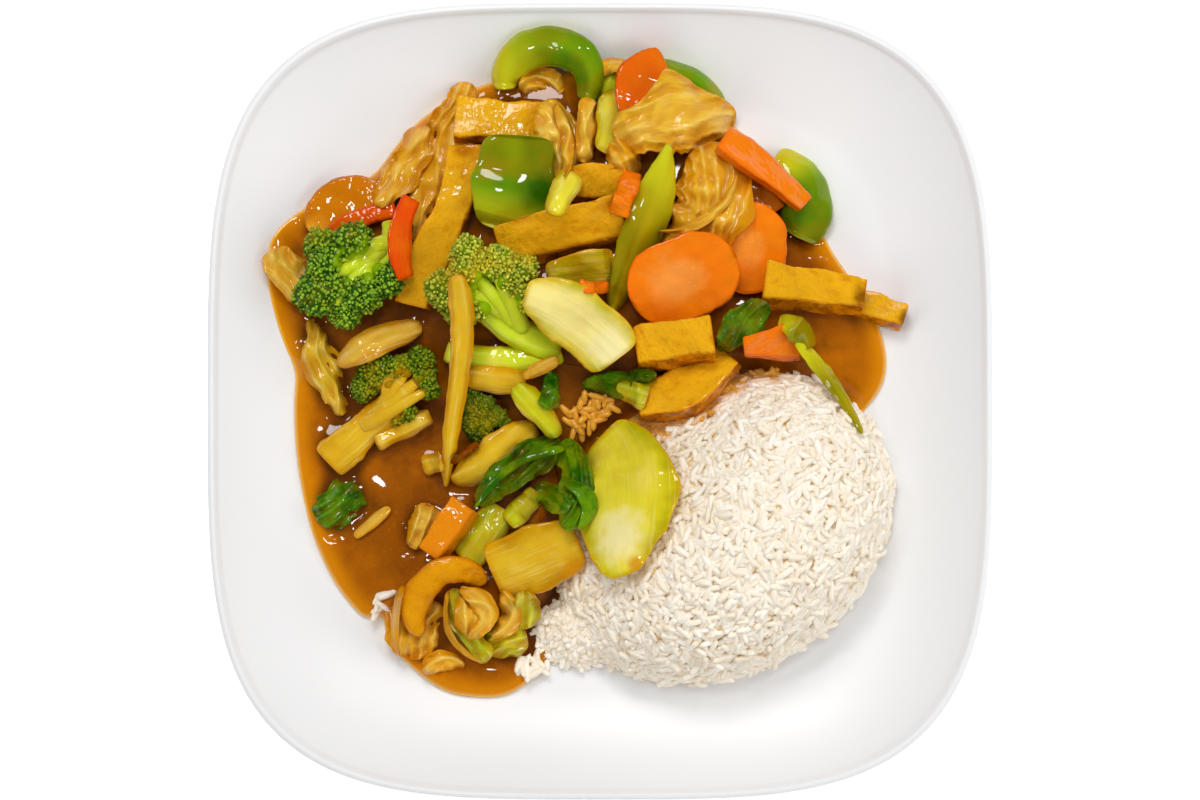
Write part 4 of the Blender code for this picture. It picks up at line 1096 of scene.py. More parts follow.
def dome_grains(count, seed, sink, tip):
    """Places and turns of grains over the whole dome: a spiral whose steps cover equal areas."""
    chance = np.random.default_rng(seed)
    part_at, length_at = arc_table()
    area = np.append(0, (np.diff(length_at) * (part_at[1:] + part_at[:-1])).cumsum())
    share = (np.arange(count) + 0.5) / count
    part = np.clip(np.interp(share * area[-1], area, part_at) + chance.normal(0, 0.006, count), 0.0, 0.998)
    turn = GOLDEN * np.arange(count) + chance.normal(0, 0.05, count)
    x, y = rice_spot(part, turn)
    step = 0.4
    rise_x = (rice_top(x + step, y) - rice_top(x - step, y)) / (2 * step)
    rise_y = (rice_top(x, y + step) - rice_top(x, y - step)) / (2 * step)
    normal = np.stack([-rise_x, -rise_y, np.ones(count)], axis=1)
    normal /= np.linalg.norm(normal, axis=1, keepdims=True)
    places = np.stack([x, y, rice_top(x, y)], axis=1) + normal * chance.normal(-sink, 0.6, count)[:, None]
    turns = grain_turns(normal, chance, tip, *GRAIN)
    reach = 0.5 * np.abs(turns[:, 2]).sum(axis=1)
    floor = plate_top(places[:, 0], places[:, 1]) + GRAIN_CLEAR + reach
    places[:, 2] = np.maximum(places[:, 2], floor)
    return turns, places, chance.uniform(0, 1, count)


def spill_grains(count, seed):
    """Grains strewn over the low heap and a little past its edge, lying at all angles."""
    chance = np.random.default_rng(seed)
    part = 1.15 * np.sqrt((np.arange(count) + 0.5) / count)
    turn = GOLDEN * np.arange(count)
    x = SPILL_CENTRE[0] + part * np.cos(turn) * SPILL_RADII[0]
    y = SPILL_CENTRE[1] + part * np.sin(turn) * SPILL_RADII[1]
    heap = PLATE_FLOOR + RICE_FOOT + SPILL_HEAP * np.clip(1 - part ** 2, 0, 1)
    normal = np.tile([0.0, 0.0, 1.0], (count, 1)) + chance.normal(0, 0.25, (count, 3))
    normal /= np.linalg.norm(normal, axis=1, keepdims=True)
    turns = grain_turns(normal, chance, 0.3, *GRAIN)
    places = np.stack([x, y, heap + chance.uniform(-0.4, 0.8, count)], axis=1)
    reach = 0.5 * np.abs(turns[:, 2]).sum(axis=1)
    places[:, 2] = np.maximum(places[:, 2], plate_top(x, y) + GRAIN_CLEAR + reach)
    return turns, places, chance.uniform(0, 1, count)


def rice_finish(name, pale, deep):
    """Moist grains: light that passes through them is painted as a faint warm glow, and sauce stains them."""
    # The emission is a painted glow: it lightens the shaded gaps between grains, as light through the rice
    # would.
    recipe = Recipe(name, Coat_Roughness=0.15, Specular_IOR_Level=0.3, Emission_Strength=0.055,
                    Emission_Color=srgb(255, 208, 140))
    place = recipe.place()
    cloud = recipe.noise(place, 0.08, 3.0)
    own = recipe.value("shade")
    colour = recipe.blend(own * 0.6 + cloud * 0.4, deep, pale)
    soaked = recipe.value("stain")
    colour = recipe.blend(soaked, colour, srgb(222, 152, 0))
    grit = recipe.noise(place, 1.6, 3.0)
    return recipe.finish(colour, 0.42 + grit * 0.15, recipe.bump(grit, 0.3, 0.2), 0.1 + soaked * 0.7)


rice_material = rice_finish("rice", srgb(252, 249, 242), srgb(240, 228, 205))
core = make_rice_core()
# The core's darker, warmer cream is painted shade in the gaps between grains.
core.data.materials.append(rice_finish("rice_core", srgb(240, 212, 156), srgb(228, 192, 126)))
dress(core, "rice", "rice")
grain_shape = seed_shape(6, 4, 0.6)
layers = {
    "lying": dome_grains(3300, 11, 1.2, 0.14),
    "tipped": dome_grains(1700, 12, 0.7, 0.42),
    "spilled": spill_grains(320, 13),
}
for label, (turns, places, own) in layers.items():
    fields = {"stain": stain(places), "shade": own}
    grains = copies("rice_grains_" + label, grain_shape, turns, places, fields)
    grains.data.materials.append(rice_material)
    dress(grains, "rice", "rice")
    print(label, "grains:", len(places), "triangles:", len(grains.data.polygons))

# %% [markdown]
# ## Broccoli
# A floret is a crown of hundreds of buds on branching stems. Lumps placed by the golden angle
# make the crown, each lump carries knobs, and the buds are small balls sown on the knobs. Where the sauce
# has run over the crown the buds are yellow. The knobs take the buds' deep green with little painted
# light, so the deep gaps between lumps stay dark: partly the green of the buds, partly painted shade.

# %% The florets
BROCCOLI = {
    # middle of the crown, its half sizes, number of lumps, and its one or two stems as line and widths
    "broccoli_left": ((-85, 43), (19, 17, 9), 8, (((-69, 61), (-71, 49), (-80, 43)), (9, 9, 7)), None),
    "broccoli_lower": ((-68, 6), (16, 12, 9), 7, (((-92, -21), (-80, -10), (-68, 0)), (14, 12, 10)),
                       (((-76, -14), (-66, -9), (-57, -5)), (7, 7, 6))),
    "broccoli_small": ((-40, -5), (9, 9, 6), 5, None, None),
    "broccoli_centre": ((-40, 39), (20, 15, 9), 8, (((-42, 38), (-33, 27), (-13, 18)), (10, 11, 11)),
                        (((-52, 17), (-33, 14), (-13, 17)), (8, 9, 10))),
}
CROWN_BUMP = 0.45
STEM_THICK = 7.0
KNOBS_PER_LUMP = 8
BUDS_PER_KNOB = 70
BARE = {
    # the line along which a crown is bare, because its stems show there, and how wide that is
    "broccoli_left": (((-67, 63), (-73, 51), (-83, 45)), 6.0),
    "broccoli_lower": (((-88, -17), (-76, -5), (-66, 4)), 7.0),
    "broccoli_small": (((-44, -9), (-38, -9)), 1.0),
    "broccoli_centre": (((-16, 18), (-30, 28), (-38, 37)), 6.5),
}


def crown_lumps(name):
    """Middles and sizes of the lumps of a crown, as in its solid."""
    centre, radii, bumps, *_ = BROCCOLI[name]
    radii = np.array(radii, float)
    index = np.arange(bumps)
    height = 1 - (index + 0.5) / bumps
    level = np.sqrt(1 - height ** 2)
    turn = GOLDEN * index + len(name)
    away = np.stack([level * np.cos(turn), level * np.sin(turn), height], axis=1)
    size = CROWN_BUMP * radii.mean() * (1 + 0.15 * np.sin(5 * index))
    return np.array([*centre, 0.0]) + away * radii * 0.72, size


print("florets:", len(BROCCOLI))

# %% The florets' surfaces
def lean_of(name, middles, sizes):
    """The plane by which the solid was raised and leaned: fitted to the tops and the girdles of
    its lumps, which keep their places on the plate."""
    solid = node_points(name)
    girdle = 2 * np.pi * np.arange(6) / 6
    rows, lifts = [], []
    for middle, size in zip(middles, sizes):
        marks = [middle + (0, 0, size)]
        marks += [middle + (size * math.cos(turn), size * math.sin(turn), 0) for turn in girdle]
        for mark in marks:
            near = np.hypot(*(solid[:, :2] - mark[:2]).T) < 0.02
            if near.any():
                rows.append((1.0, mark[0], mark[1]))
                lifts.append(solid[near, 2].max() - mark[2])
    plane, *_ = np.linalg.lstsq(np.array(rows), np.array(lifts), rcond=None)
    return plane


def ball_ways(count, share):
    """Directions in a spiral from the top of a ball down over a share of its height."""
    rise = 1 - 2 * share * (np.arange(count) + 0.5) / count
    level = np.sqrt(1 - rise ** 2)
    turn = GOLDEN * np.arange(count)
    return np.stack([level * np.cos(turn), level * np.sin(turn), rise], axis=1)


def knobs_of(name, middles, sizes, chance):
    """Each lump carries smaller ones, half its size, all over its upper side. Five more lumps fill
    the middle of the crown. Nothing grows on the bare side."""
    centre, radii, *_ = BROCCOLI[name]
    ring = 2 * np.pi * np.arange(5) / 5
    away = np.stack([np.cos(ring) * 0.36, np.sin(ring) * 0.36, np.full(5, 0.45)], axis=1)
    middles = np.concatenate([middles, np.array([*centre, 0.0]) + away * radii])
    sizes = np.append(sizes, np.full(5, sizes.mean()))
    ways = ball_ways(KNOBS_PER_LUMP, 0.7)
    knobs = middles[:, None] + ways[None] * (sizes * 0.52)[:, None, None]
    small = sizes[:, None] * chance.uniform(0.42, 0.54, (len(middles), KNOBS_PER_LUMP))
    knobs = knobs.reshape(-1, 3) + chance.normal(0, 0.3, (knobs.size // 3, 3))
    keep = bare_at(name, knobs) < 0.5
    return knobs[keep], small.ravel()[keep]


def bare_at(name, spots):
    """1 on the stems' side of the crown, where no buds grow, and 0 elsewhere."""
    line, reach = BARE[name]
    middle, _, _ = along(line, np.linspace(0, 1, 25))
    away = np.linalg.norm(spots[:, None, :2] - middle[None], axis=2).min(axis=1)
    away = away + 1.5 * waves(spots, 5.0, 31)
    return smooth_step((reach - away) / 2.0)


def make_buds(name, middles, sizes, plane, seed):
    """Buds on the outsides of the knobs: a spiral of places on each, without those that lie inside
    another knob or on the bare side."""
    chance = np.random.default_rng(seed)
    middles, sizes = knobs_of(name, middles, sizes, chance)
    ways = ball_ways(BUDS_PER_KNOB, 0.8)
    spots, outs = [], []
    for number, (middle, size) in enumerate(zip(middles, sizes)):
        spin = chance.uniform(0, 2 * np.pi)
        turned = ways @ [[math.cos(spin), math.sin(spin), 0], [-math.sin(spin), math.cos(spin), 0], [0, 0, 1]]
        turned = turned + chance.normal(0, 0.1, turned.shape)
        place = middle + turned * size * chance.uniform(0.88, 1.1, (BUDS_PER_KNOB, 1))
        gaps = np.linalg.norm(place[:, None] - middles[None], axis=2) / sizes
        gaps[:, number] = 9.0
        free = (gaps.min(axis=1) > 0.95) & (bare_at(name, place) < 0.5)
        spots.append(place[free])
        outs.append(turned[free])
    spots, outs = np.concatenate(spots), np.concatenate(outs)
    spots[:, 2] += plane[0] + spots[:, :2] @ plane[1:]
    count = len(spots)
    outs = outs + chance.normal(0, 0.25, (count, 3))
    outs /= np.linalg.norm(outs, axis=1, keepdims=True)
    side = np.cross(outs, chance.normal(size=(count, 3)))
    side /= np.linalg.norm(side, axis=1, keepdims=True)
    other = np.cross(outs, side)
    width = chance.uniform(0.36, 0.76, (count, 1))
    turns = np.stack([outs * width * 1.4, side * width, other * width], axis=2)
    fields = {"shade": chance.uniform(0, 1, count), "height": outs[:, 2], "bare": np.zeros(count)}
    return copies(name + "_buds", seed_shape(5, 4, 0.8), turns, spots, fields)


def make_core(name, middles, sizes, plane, seed):
    """Knobs under the buds, bare on the stems' side."""
    middles, sizes = knobs_of(name, middles, sizes, np.random.default_rng(seed))
    count = len(middles)
    points, triangles = seed_shape(18, 12)
    spots = middles[:, None] + points[None] * (sizes * 0.94)[:, None, None]
    spots = spots.reshape(-1, 3)
    bare = bare_at(name, spots)
    spots[:, 2] += plane[0] + spots[:, :2] @ plane[1:]
    faces = triangles[None] + (np.arange(count) * len(points))[:, None, None]
    fields = {"shade": np.zeros(len(spots)), "height": np.zeros(len(spots)), "bare": bare}
    return mesh_object(name + "_knobs", spots, [], faces.reshape(-1, 3), fields)


def rod(name, path, radii, sides=16):
    """A closed tube along a path: rings across it, each with its own radius, and a pole at each end."""
    way = np.gradient(path, axis=0)
    way /= np.linalg.norm(way, axis=1, keepdims=True)
    side = np.cross(way, (0.0, 0.0, 1.0))
    side /= np.linalg.norm(side, axis=1, keepdims=True)
    over = np.cross(side, way)
    turn = 2 * np.pi * np.arange(sides) / sides
    ring = side[:, None] * np.cos(turn)[None, :, None] + over[:, None] * np.sin(turn)[None, :, None]
    points = (path[:, None] + ring * radii[:, None, None]).reshape(-1, 3)
    points = points + 0.25 * waves(points, 3.5, 77)[:, None] * (0, 0, 1)
    quads, ends = tube_faces(len(path), sides)
    poles = [path[0] - way[0] * radii[0] * 0.4, path[-1] + way[-1] * radii[-1] * 0.4]
    fields = {
        "lie": np.concatenate([np.repeat(path, sides, axis=0), poles]),
        "run": np.append(np.repeat(np.linspace(0, 1, len(path)), sides), [0.0, 1.0]),
    }
    return mesh_object(name, np.concatenate([points, poles]), quads[:, ::-1], ends[:, ::-1], fields)


def make_branches(name, plane, count=4):
    """Branches that leave the bare side's line one after the other and fan out under the buds."""
    line, _ = BARE[name]
    centre, radii, *_ = BROCCOLI[name]
    way = np.subtract(line[-1], line[0])
    facing = math.atan2(way[1], way[0])
    made = []
    for branch in range(count):
        start, _, _ = along(line, np.array([0.42 + 0.12 * branch]))
        angle = facing + (branch - (count - 1) / 2) * 0.75
        end = np.array(centre) + 0.62 * np.array([math.cos(angle), math.sin(angle)]) * radii[:2]
        mix = np.linspace(0, 1, 26)[:, None]
        flat = start * (1 - mix) + end * mix
        rise = 0.5 + (0.62 * radii[2] - 0.5) * np.sin(mix[:, 0] * 2.2)
        path = np.concatenate([flat, (plane[0] + flat @ plane[1:] + rise)[:, None]], axis=1)
        made.append(rod("%s_branch_%d" % (name, branch), path, 3.3 - 1.7 * mix[:, 0]))
    return made


def stem_seat(plane, crown_height):
    """The seat of a floret's stem: a little below the plane by which its crown leans."""
    def on_plane(name, line, widths, thick, kind, seed):
        part = np.linspace(0, 1, 30)
        middle, _, _ = along(line, part)
        return part, plane[0] + middle @ plane[1:] - crown_height * 0.1, np.zeros(30)
    return on_plane


def bud_finish(name, tip, deep, yellow, stem):
    """Buds: painted light on their upper side, each one a little different, and yellow where sauce ran."""
    recipe = wet(name, Coat_Weight=0.6)
    place = recipe.place()
    own = recipe.value("shade")
    # Painted light: buds that face up are paler, and those that face sideways are deeper.
    high = recipe.value("height").between(-0.2, 1.0)
    colour = recipe.blend(own * 0.45 + high * 0.55, deep, tip)
    sauced = recipe.noise(place, 0.08, 3.0).between(0.45, 0.68)
    colour = recipe.blend(sauced * yellow, colour, srgb(206, 164, 10))
    colour = recipe.blend(recipe.value("bare") * 0.8, colour, stem[1])
    return recipe.finish(colour, 0.4 + own * 0.15)


FLORET_STEM = dict(STEM, cup=0.0, bow=0.5, wave=0.2, ends=9.0)
STEMMED = ("broccoli_left", "broccoli_lower", "broccoli_centre")
BRIGHT = (srgb(200, 222, 16), srgb(146, 182, 0), srgb(216, 234, 50), 0.15)
FLORET_LOOKS = {
    # the buds' green where painted light falls on their tops and their dark green, how yellow the sauce makes
    # them, and the stems' colours
    "broccoli_left": (srgb(158, 200, 50), srgb(26, 76, 6), 0.3, BRIGHT),
    "broccoli_lower": (srgb(146, 164, 26), srgb(34, 80, 4), 0.55, STRAW),
    "broccoli_small": (srgb(112, 130, 20), srgb(22, 56, 4), 0.45, LIME),
    "broccoli_centre": (srgb(232, 228, 78), srgb(88, 126, 8), 0.55, BRIGHT),
}
for name, (tip, deep, yellow, stem_colours) in FLORET_LOOKS.items():
    middles, sizes = crown_lumps(name)
    plane = lean_of(name, middles, sizes)
    bud_material = bud_finish(name + "_buds", tip, deep, yellow, stem_colours)
    buds = make_buds(name, middles, sizes, plane, len(name))
    lumps = make_core(name, middles, sizes, plane, len(name))
    # The knobs take the bud material with little of its painted top light, so they show as painted shade in
    # the gaps between buds.
    for piece in (buds, lumps):
        piece.data.materials.append(bud_material)
        dress(piece, name, "broccoli")
    if name in STEMMED:
        branch_material = stem_finish(name + "_branches", *stem_colours)
        for piece in make_branches(name, plane):
            piece.data.materials.append(branch_material)
            dress(piece, name, "broccoli")

    on_plane = stem_seat(plane, BROCCOLI[name][1][2])
    for count, stem in enumerate(stem for stem in BROCCOLI[name][3:] if stem):
        piece = make_piece(count, name + "_stem", *stem, STEM_THICK, FLORET_STEM, seated=on_plane)
        piece.data.materials.append(stem_finish(name + "_stem", *stem_colours))
        dress(piece, name, "broccoli")
    print(name, "bud triangles:", len(buds.data.polygons), "plane:", np.round(plane, 3).tolist())

# %% [markdown]
# ## A map of the food's height
# Small bits lie on whatever is under them, and the sauce creeps up at every piece it touches. Both
# need to know how high the food stands at each place, so all surfaces made so far are read into a
# map with cells of one millimetre.

# %% The height map
MAP_HALF = 140
MAP_SIDE = 2 * MAP_HALF
NO_FOOD = 99.0


def food_points():
    """All points of the food made so far, in millimetres."""
    return np.concatenate([points_of(piece) for piece in food]) / MM


def cell_of(x, y):
    """The number of the map's cell at a spot."""
    column = np.clip((np.asarray(x) + MAP_HALF).astype(int), 0, MAP_SIDE - 1)
    row = np.clip((np.asarray(y) + MAP_HALF).astype(int), 0, MAP_SIDE - 1)
    return column * MAP_SIDE + row


def spread_out(grid, steps, pick=np.maximum):
    """The greatest value within some steps of each cell, or the least with another pick."""
    for _ in range(steps):
        for axis in (0, 1):
            grid = pick(grid, pick(np.roll(grid, 1, axis), np.roll(grid, -1, axis)))
    return grid


def sample(grid, x, y):
    """A map's value at any place, between the middles of its cells."""
    u = np.clip(np.asarray(x) + MAP_HALF - 0.5, 0, MAP_SIDE - 1.001)
    v = np.clip(np.asarray(y) + MAP_HALF - 0.5, 0, MAP_SIDE - 1.001)
    i, j = u.astype(int), v.astype(int)
    u, v = u - i, v - j
    low = grid[i, j] * (1 - u) + grid[i + 1, j] * u
    high = grid[i, j + 1] * (1 - u) + grid[i + 1, j + 1] * u
    return low * (1 - v) + high * v


def blurred(grid, steps):
    """A map smoothed over its neighbours, a number of times."""
    for _ in range(steps):
        for axis in (0, 1):
            grid = (np.roll(grid, 1, axis) + 2 * grid + np.roll(grid, -1, axis)) / 4
    return grid


def cell_middles():
    """x and y of every cell's middle."""
    line = np.arange(MAP_SIDE) + 0.5 - MAP_HALF
    return np.meshgrid(line, line, indexing="ij")


print("cells:", MAP_SIDE ** 2)

# %% [markdown]
# ## The sauce
# The sauce is thick and shiny. It fills the heap from below, ends in a rounded edge on the plate,
# rises a little wherever it touches a piece, and looks lighter where it is thin. Its surface is
# made of rings that run out from its middle, with a height for every point. Little light reaches
# it between the pieces of the heap, so it is painted darker there, as painted shade.

# %% The sauce's surface
POOL_CENTRE = (-25.0, 15.0)
POOL_EDGE = (
    (86, -4), (94, 2), (97, 13), (95, 26), (78, 52), (56, 84), (26, 106), (-5, 112), (-28, 111), (-62, 94),
    (-76, 76), (-111, 56), (-113, 44), (-102, 10), (-100, -32), (-88, -64), (-75, -78), (-52, -100),
    (-30, -101), (-15, -84),
)
# A dent in the pool's outline at the front left: its direction from the middle, depth and width.
NOTCH_TURN = -2.075
NOTCH_DEEP = 5.0
NOTCH_WIDTH = 0.035
RICE_EDGE = 0.96
POOL_DEPTH = 3.0
MOUNDS = (
    # middle, radii and height
    ((-13.0, 45.0), (84.0, 70.0), 11.0),
    ((-43.0, -47.0), (44.0, 38.0), 6.0),
)
POOL_LIFT = 0.5
DROWN = 1.3
EDGE_ROUND = 4.0
POOL_SIDES = 420
POOL_RINGS = 130
CREEP = 1.2
POOL_CLEAR = 0.12
FAR_IN = 60.0
# Middle and reach of the painted shade over the heap.
HEAP_MIDDLE = (-14, 42)
HEAP_REACH = 120


def mound_top(x, y):
    """The sauce's level: a pool with two mounds."""
    level = np.maximum(plate_top(x, y) + 0.8, PLATE_FLOOR + POOL_DEPTH)
    for centre, radii, height in MOUNDS:
        away = ((x - centre[0]) / radii[0]) ** 2 + ((y - centre[1]) / radii[1]) ** 2
        level = level + height * np.clip(1 - away, 0, 1) ** 1.1
    return level


def pool_edge(turn):
    """Distance from the pool's middle to its edge: lines between the corners, smoothed round the
    circle. It stops at the rice, or passes below it where the sauce comes out beyond."""
    edge = np.array(POOL_EDGE, float) - POOL_CENTRE
    angle = np.arctan2(edge[:, 1], edge[:, 0])
    order = np.argsort(angle)
    dense = np.linspace(-np.pi, np.pi, 720, endpoint=False)
    reach = np.interp(dense, angle[order], np.hypot(*edge.T)[order], period=2 * np.pi)
    window = np.hanning(27)
    reach = np.convolve(np.concatenate([reach[-13:], reach, reach[:13]]), window / window.sum(), "valid")
    around = np.stack([np.cos(dense), np.sin(dense)], axis=1)
    reach = reach + 0.7 * waves(around, 0.6, 21)
    reach = reach - NOTCH_DEEP * np.exp(-((dense - NOTCH_TURN) / NOTCH_WIDTH) ** 2)
    steps = np.linspace(0, 1, 300)[:, None]
    x = POOL_CENTRE[0] + steps * reach * np.cos(dense)
    y = POOL_CENTRE[1] + steps * reach * np.sin(dense)
    clear = rice_reach(x, y) > RICE_EDGE
    whole = clear.all(axis=0) | clear[-1]
    first = np.where(whole, len(steps) - 1, np.argmin(clear, axis=0) - 1)
    return np.interp(turn, dense, reach * steps[np.maximum(first, 1), 0], period=2 * np.pi)


def food_maps():
    """The sauce's level, kept low enough that thin pieces show, and where food stands in it: close by for the
    sauce's creep, and over a wide reach for its painted shade.
    """
    x, y = cell_middles()
    level = mound_top(x, y) + POOL_LIFT
    spots = food_points()
    cell = cell_of(spots[:, 0], spots[:, 1])
    bottom = np.full(MAP_SIDE * MAP_SIDE, NO_FOOD)
    np.minimum.at(bottom, cell, spots[:, 2])
    allowed = spread_out(bottom.reshape(MAP_SIDE, MAP_SIDE), 2, np.minimum) + DROWN
    level = blurred(np.minimum(level, allowed), 4)
    touched = np.abs(spots[:, 2] - level.ravel()[cell]) < 1.0
    grid = np.zeros(MAP_SIDE * MAP_SIDE)
    grid[cell[touched]] = 1.0
    grid = grid.reshape(MAP_SIDE, MAP_SIDE)
    return level, blurred(grid, 3), blurred(grid, 40)


def make_sauce(level, creep, shade):
    """Rings from the pool's middle over the rounded edge and back below."""
    turn = 2 * np.pi * np.arange(POOL_SIDES) / POOL_SIDES
    edge = pool_edge(turn)
    out = 1 - (1 - np.linspace(0, 1, POOL_RINGS + 1)[1:]) ** 1.25
    x = POOL_CENTRE[0] + out[:, None] * edge * np.cos(turn)
    y = POOL_CENTRE[1] + out[:, None] * edge * np.sin(turn)
    level = sample(level, x, y) + CREEP * sample(creep, x, y)
    level = level + 0.12 * waves(np.stack([x, y], axis=2), 18.0, 23)
    inward = np.clip((1 - out)[:, None] * edge / EDGE_ROUND, 0, 1)
    rounded = np.sqrt(1 - (1 - inward) ** 2)
    under = plate_top(x, y) + POOL_CLEAR
    z = under + np.maximum(level - under, 0.5) * rounded
    back = np.arange(POOL_RINGS - 4, 0, -12)
    low = np.stack([x[back], y[back], under[back]], axis=2)
    top = np.stack([x, y, z], axis=2)
    middle = float(mound_top(*POOL_CENTRE)) + POOL_LIFT
    poles = [[*POOL_CENTRE, middle], [*POOL_CENTRE, PLATE_FLOOR + POOL_CLEAR]]
    points = np.concatenate([top.reshape(-1, 3), low.reshape(-1, 3), poles])
    quads, ends = tube_faces(POOL_RINGS + len(back), POOL_SIDES)
    inside = ((1 - out)[:, None] * edge).ravel()
    gap = np.concatenate([inside, np.zeros(len(back) * POOL_SIDES), [FAR_IN, FAR_IN]])
    fields = {"gap": gap, "near": sample(shade, points[:, 0], points[:, 1])}
    return mesh_object("sauce_pool", points, quads[:, ::-1], ends[:, ::-1], fields)


def sauce_finish():
    """Brown-gold, with painted shade where food stands close and over the middle of the heap, and lighter
    towards its thin edge.
    """
    recipe = wet("sauce", Coat_Weight=1.0, Coat_Roughness=0.05)
    place = recipe.place()
    cloud = recipe.noise(place, 0.04, 4.0, 0.6).between(0.3, 0.7)
    grain = recipe.noise(place, 1.0, 5.0, 0.75)
    colour = recipe.blend(cloud, srgb(152, 80, 0), srgb(190, 106, 0))
    colour = recipe.blend(grain.between(0.5, 0.75) * 0.45, colour, srgb(206, 128, 8))
    # Painted shade: darker where food crowds close and over the middle of the heap, where little light
    # reaches.
    colour = recipe.blend(recipe.value("near").between(0.16, 0.48) * 0.85, colour, srgb(84, 40, 0))
    heap = recipe.near(HEAP_MIDDLE, HEAP_REACH)
    colour = recipe.blend(heap * 0.75, colour, srgb(88, 44, 0))
    colour = recipe.blend((1 - recipe.value("gap").between(0.5, 9.0)) * 0.8, colour, srgb(226, 140, 0))
    colour = recipe.blend(1 - recipe.value("gap").between(0.0, 1.6), colour, srgb(246, 184, 60))
    normal = recipe.bump(recipe.noise(place, 0.1, 2.0) + grain * 0.1, 0.4, 0.8)
    return recipe.finish(colour, 0.25 + grain * 0.12, normal)


sauce_level, creep, shade = food_maps()
sauce = make_sauce(sauce_level, creep, shade)
sauce.data.materials.append(sauce_finish())
dress(sauce, "sauce", "sauce")
print("sauce faces:", len(sauce.data.polygons))

# %% [markdown]
# ## Small bits and soaked leaves
# Between the large pieces lie slivers and shreds of cabbage that have soaked up sauce. They are too
# small or too hidden to be solids of their own. Each one is made by the same function as the cut
# pieces, and laid like a ribbon over the map of the food's height.

# %% Bits laid over the food
EXTRAS = (
    # name, line, widths, thickness, kind, finish, colours, how deep it lies below what it crosses
    ("soaked_leaf_left", ((-76, 66), (-67, 77), (-59, 93)), (8, 14, 11), 2.2, LEAF, stem_finish, SOAKED, 1.0),
    ("soaked_leaf_back", ((3, 86), (8, 80), (9, 74)), (9, 11, 8), 2.2, LEAF, stem_finish, SOAKED, 1.5),
    ("curl_leaf", ((-27, 105), (-20, 108), (-12, 105)), (8, 10, 7), 2.2, LEAF, stem_finish, SOAKED, 2.5),
    ("golden_edge", ((-3, 109), (4, 113), (10, 112)), (5, 6, 4), 2.5, THREAD, stem_finish, SOAKED, 4.5),
    ("band_strand", ((-66, -62), (-69, -74), (-68, -86)), (3, 3, 2), 2.2, THREAD, stem_finish, SOAKED, 0.3),
    ("fork_edge", ((-51, -64), (-50, -80), (-40, -88)), (2, 2.5, 2), 2.0, THREAD, stem_finish, NAPA, 0.3),
    ("core_leaf", ((-47, -63), (-38, -71), (-44, -80)), (6, 8, 5), 2.0, LEAF, stem_finish, NAPA, 0.0),
    ("dark_cup", ((-16, 10), (-17, -3)), (6, 7), 2.0, LEAF, leaf_finish, DARK, 0.0),
    ("carrot_plank", ((6, 62), (11, 77)), (7, 7), 4.0, STICK, carrot_finish, ORANGE, 0.0),
    ("pepper_bit", ((60, 27), (66, 24), (71, 18)), (6, 9, 6), 3.0, PEPPER, pepper_finish, OLIVE, 0.0),
    ("cabbage_wedge", ((4, 5), (16, 1)), (5, 10), 3.0, SLAB, stem_finish, LIME, 1.0),
    ("under_leaf", ((-6, 6), (6, 6), (19, 9)), (6, 9, 6), 2.0, LEAF, leaf_finish, DARK, 0.0),
    ("orange_sliver", ((-7, 38), (3, 38)), (5, 4), 3.0, STICK, carrot_finish, ORANGE, 3.0),
    ("tan_crescent", ((-26, 8), (-14, 14)), (4, 5), 2.5, THREAD, stem_finish, TAN, 0.0),
    ("pale_stub", ((-60, -22), (-53, -20)), (7, 7), 3.5, SLAB, stem_finish, STRAW, 0.0),
    ("brown_sliver", ((-50, -21), (-41, -14)), (2.5, 3), 2.0, THREAD, carrot_finish, SOOTY, 0.0),
    ("tan_sliver", ((-83, -46), (-71, -36)), (4, 4), 2.0, THREAD, stem_finish, TAN, 0.0),
    ("second_plank", ((-31, -41), (-21, -31)), (8, 8), 3.0, SLAB, stem_finish, LIME, 0.0),
    ("onion_bit", ((-25, -77), (-25, -64)), (9, 9), 3.0, LEAF, stem_finish, LIME, 0.0),
    ("inner_leaf", ((-22, -29), (-10, -36)), (8, 9), 2.0, LEAF, leaf_finish, GREEN, 0.0),
    ("leaf_band", ((-12, -27), (-4, -33), (-7, -43)), (5, 6, 4), 2.5, THREAD, leaf_finish, GREEN, 0.0),
    ("frill_bit", ((-36, -80), (-30, -72), (-33, -64)), (6, 8, 6), 2.0, LEAF, stem_finish, NAPA, 0.0),
    ("frill_end", ((-60, -92), (-54, -88), (-46, -90)), (6, 8, 5), 2.0, LEAF, stem_finish, SOAKED, 0.0),
    ("strand_middle", ((-15, 100), (-11, 88), (-12, 75)), (4, 5, 3), 2.2, LEAF, stem_finish, NAPA, 0.6),
    ("crumple_edge", ((20, 57), (32, 59), (41, 66), (46, 76)), (2, 3.5, 3.5, 2), 2.2, LEAF, stem_finish, NAPA,
     0.8),
    ("leaf_rib", ((-42, -36), (-28, -21), (-12, -16)), (2, 3, 4), 2.2, THREAD, leaf_finish, GREEN, 0.2),
)


def top_map():
    """The highest surface in each cell: the plate, the sauce or a piece."""
    x, y = cell_middles()
    spots = food_points()
    grid = np.zeros(MAP_SIDE * MAP_SIDE)
    np.maximum.at(grid, cell_of(spots[:, 0], spots[:, 1]), spots[:, 2])
    return np.maximum(spread_out(grid.reshape(MAP_SIDE, MAP_SIDE), 1), plate_top(x, y))


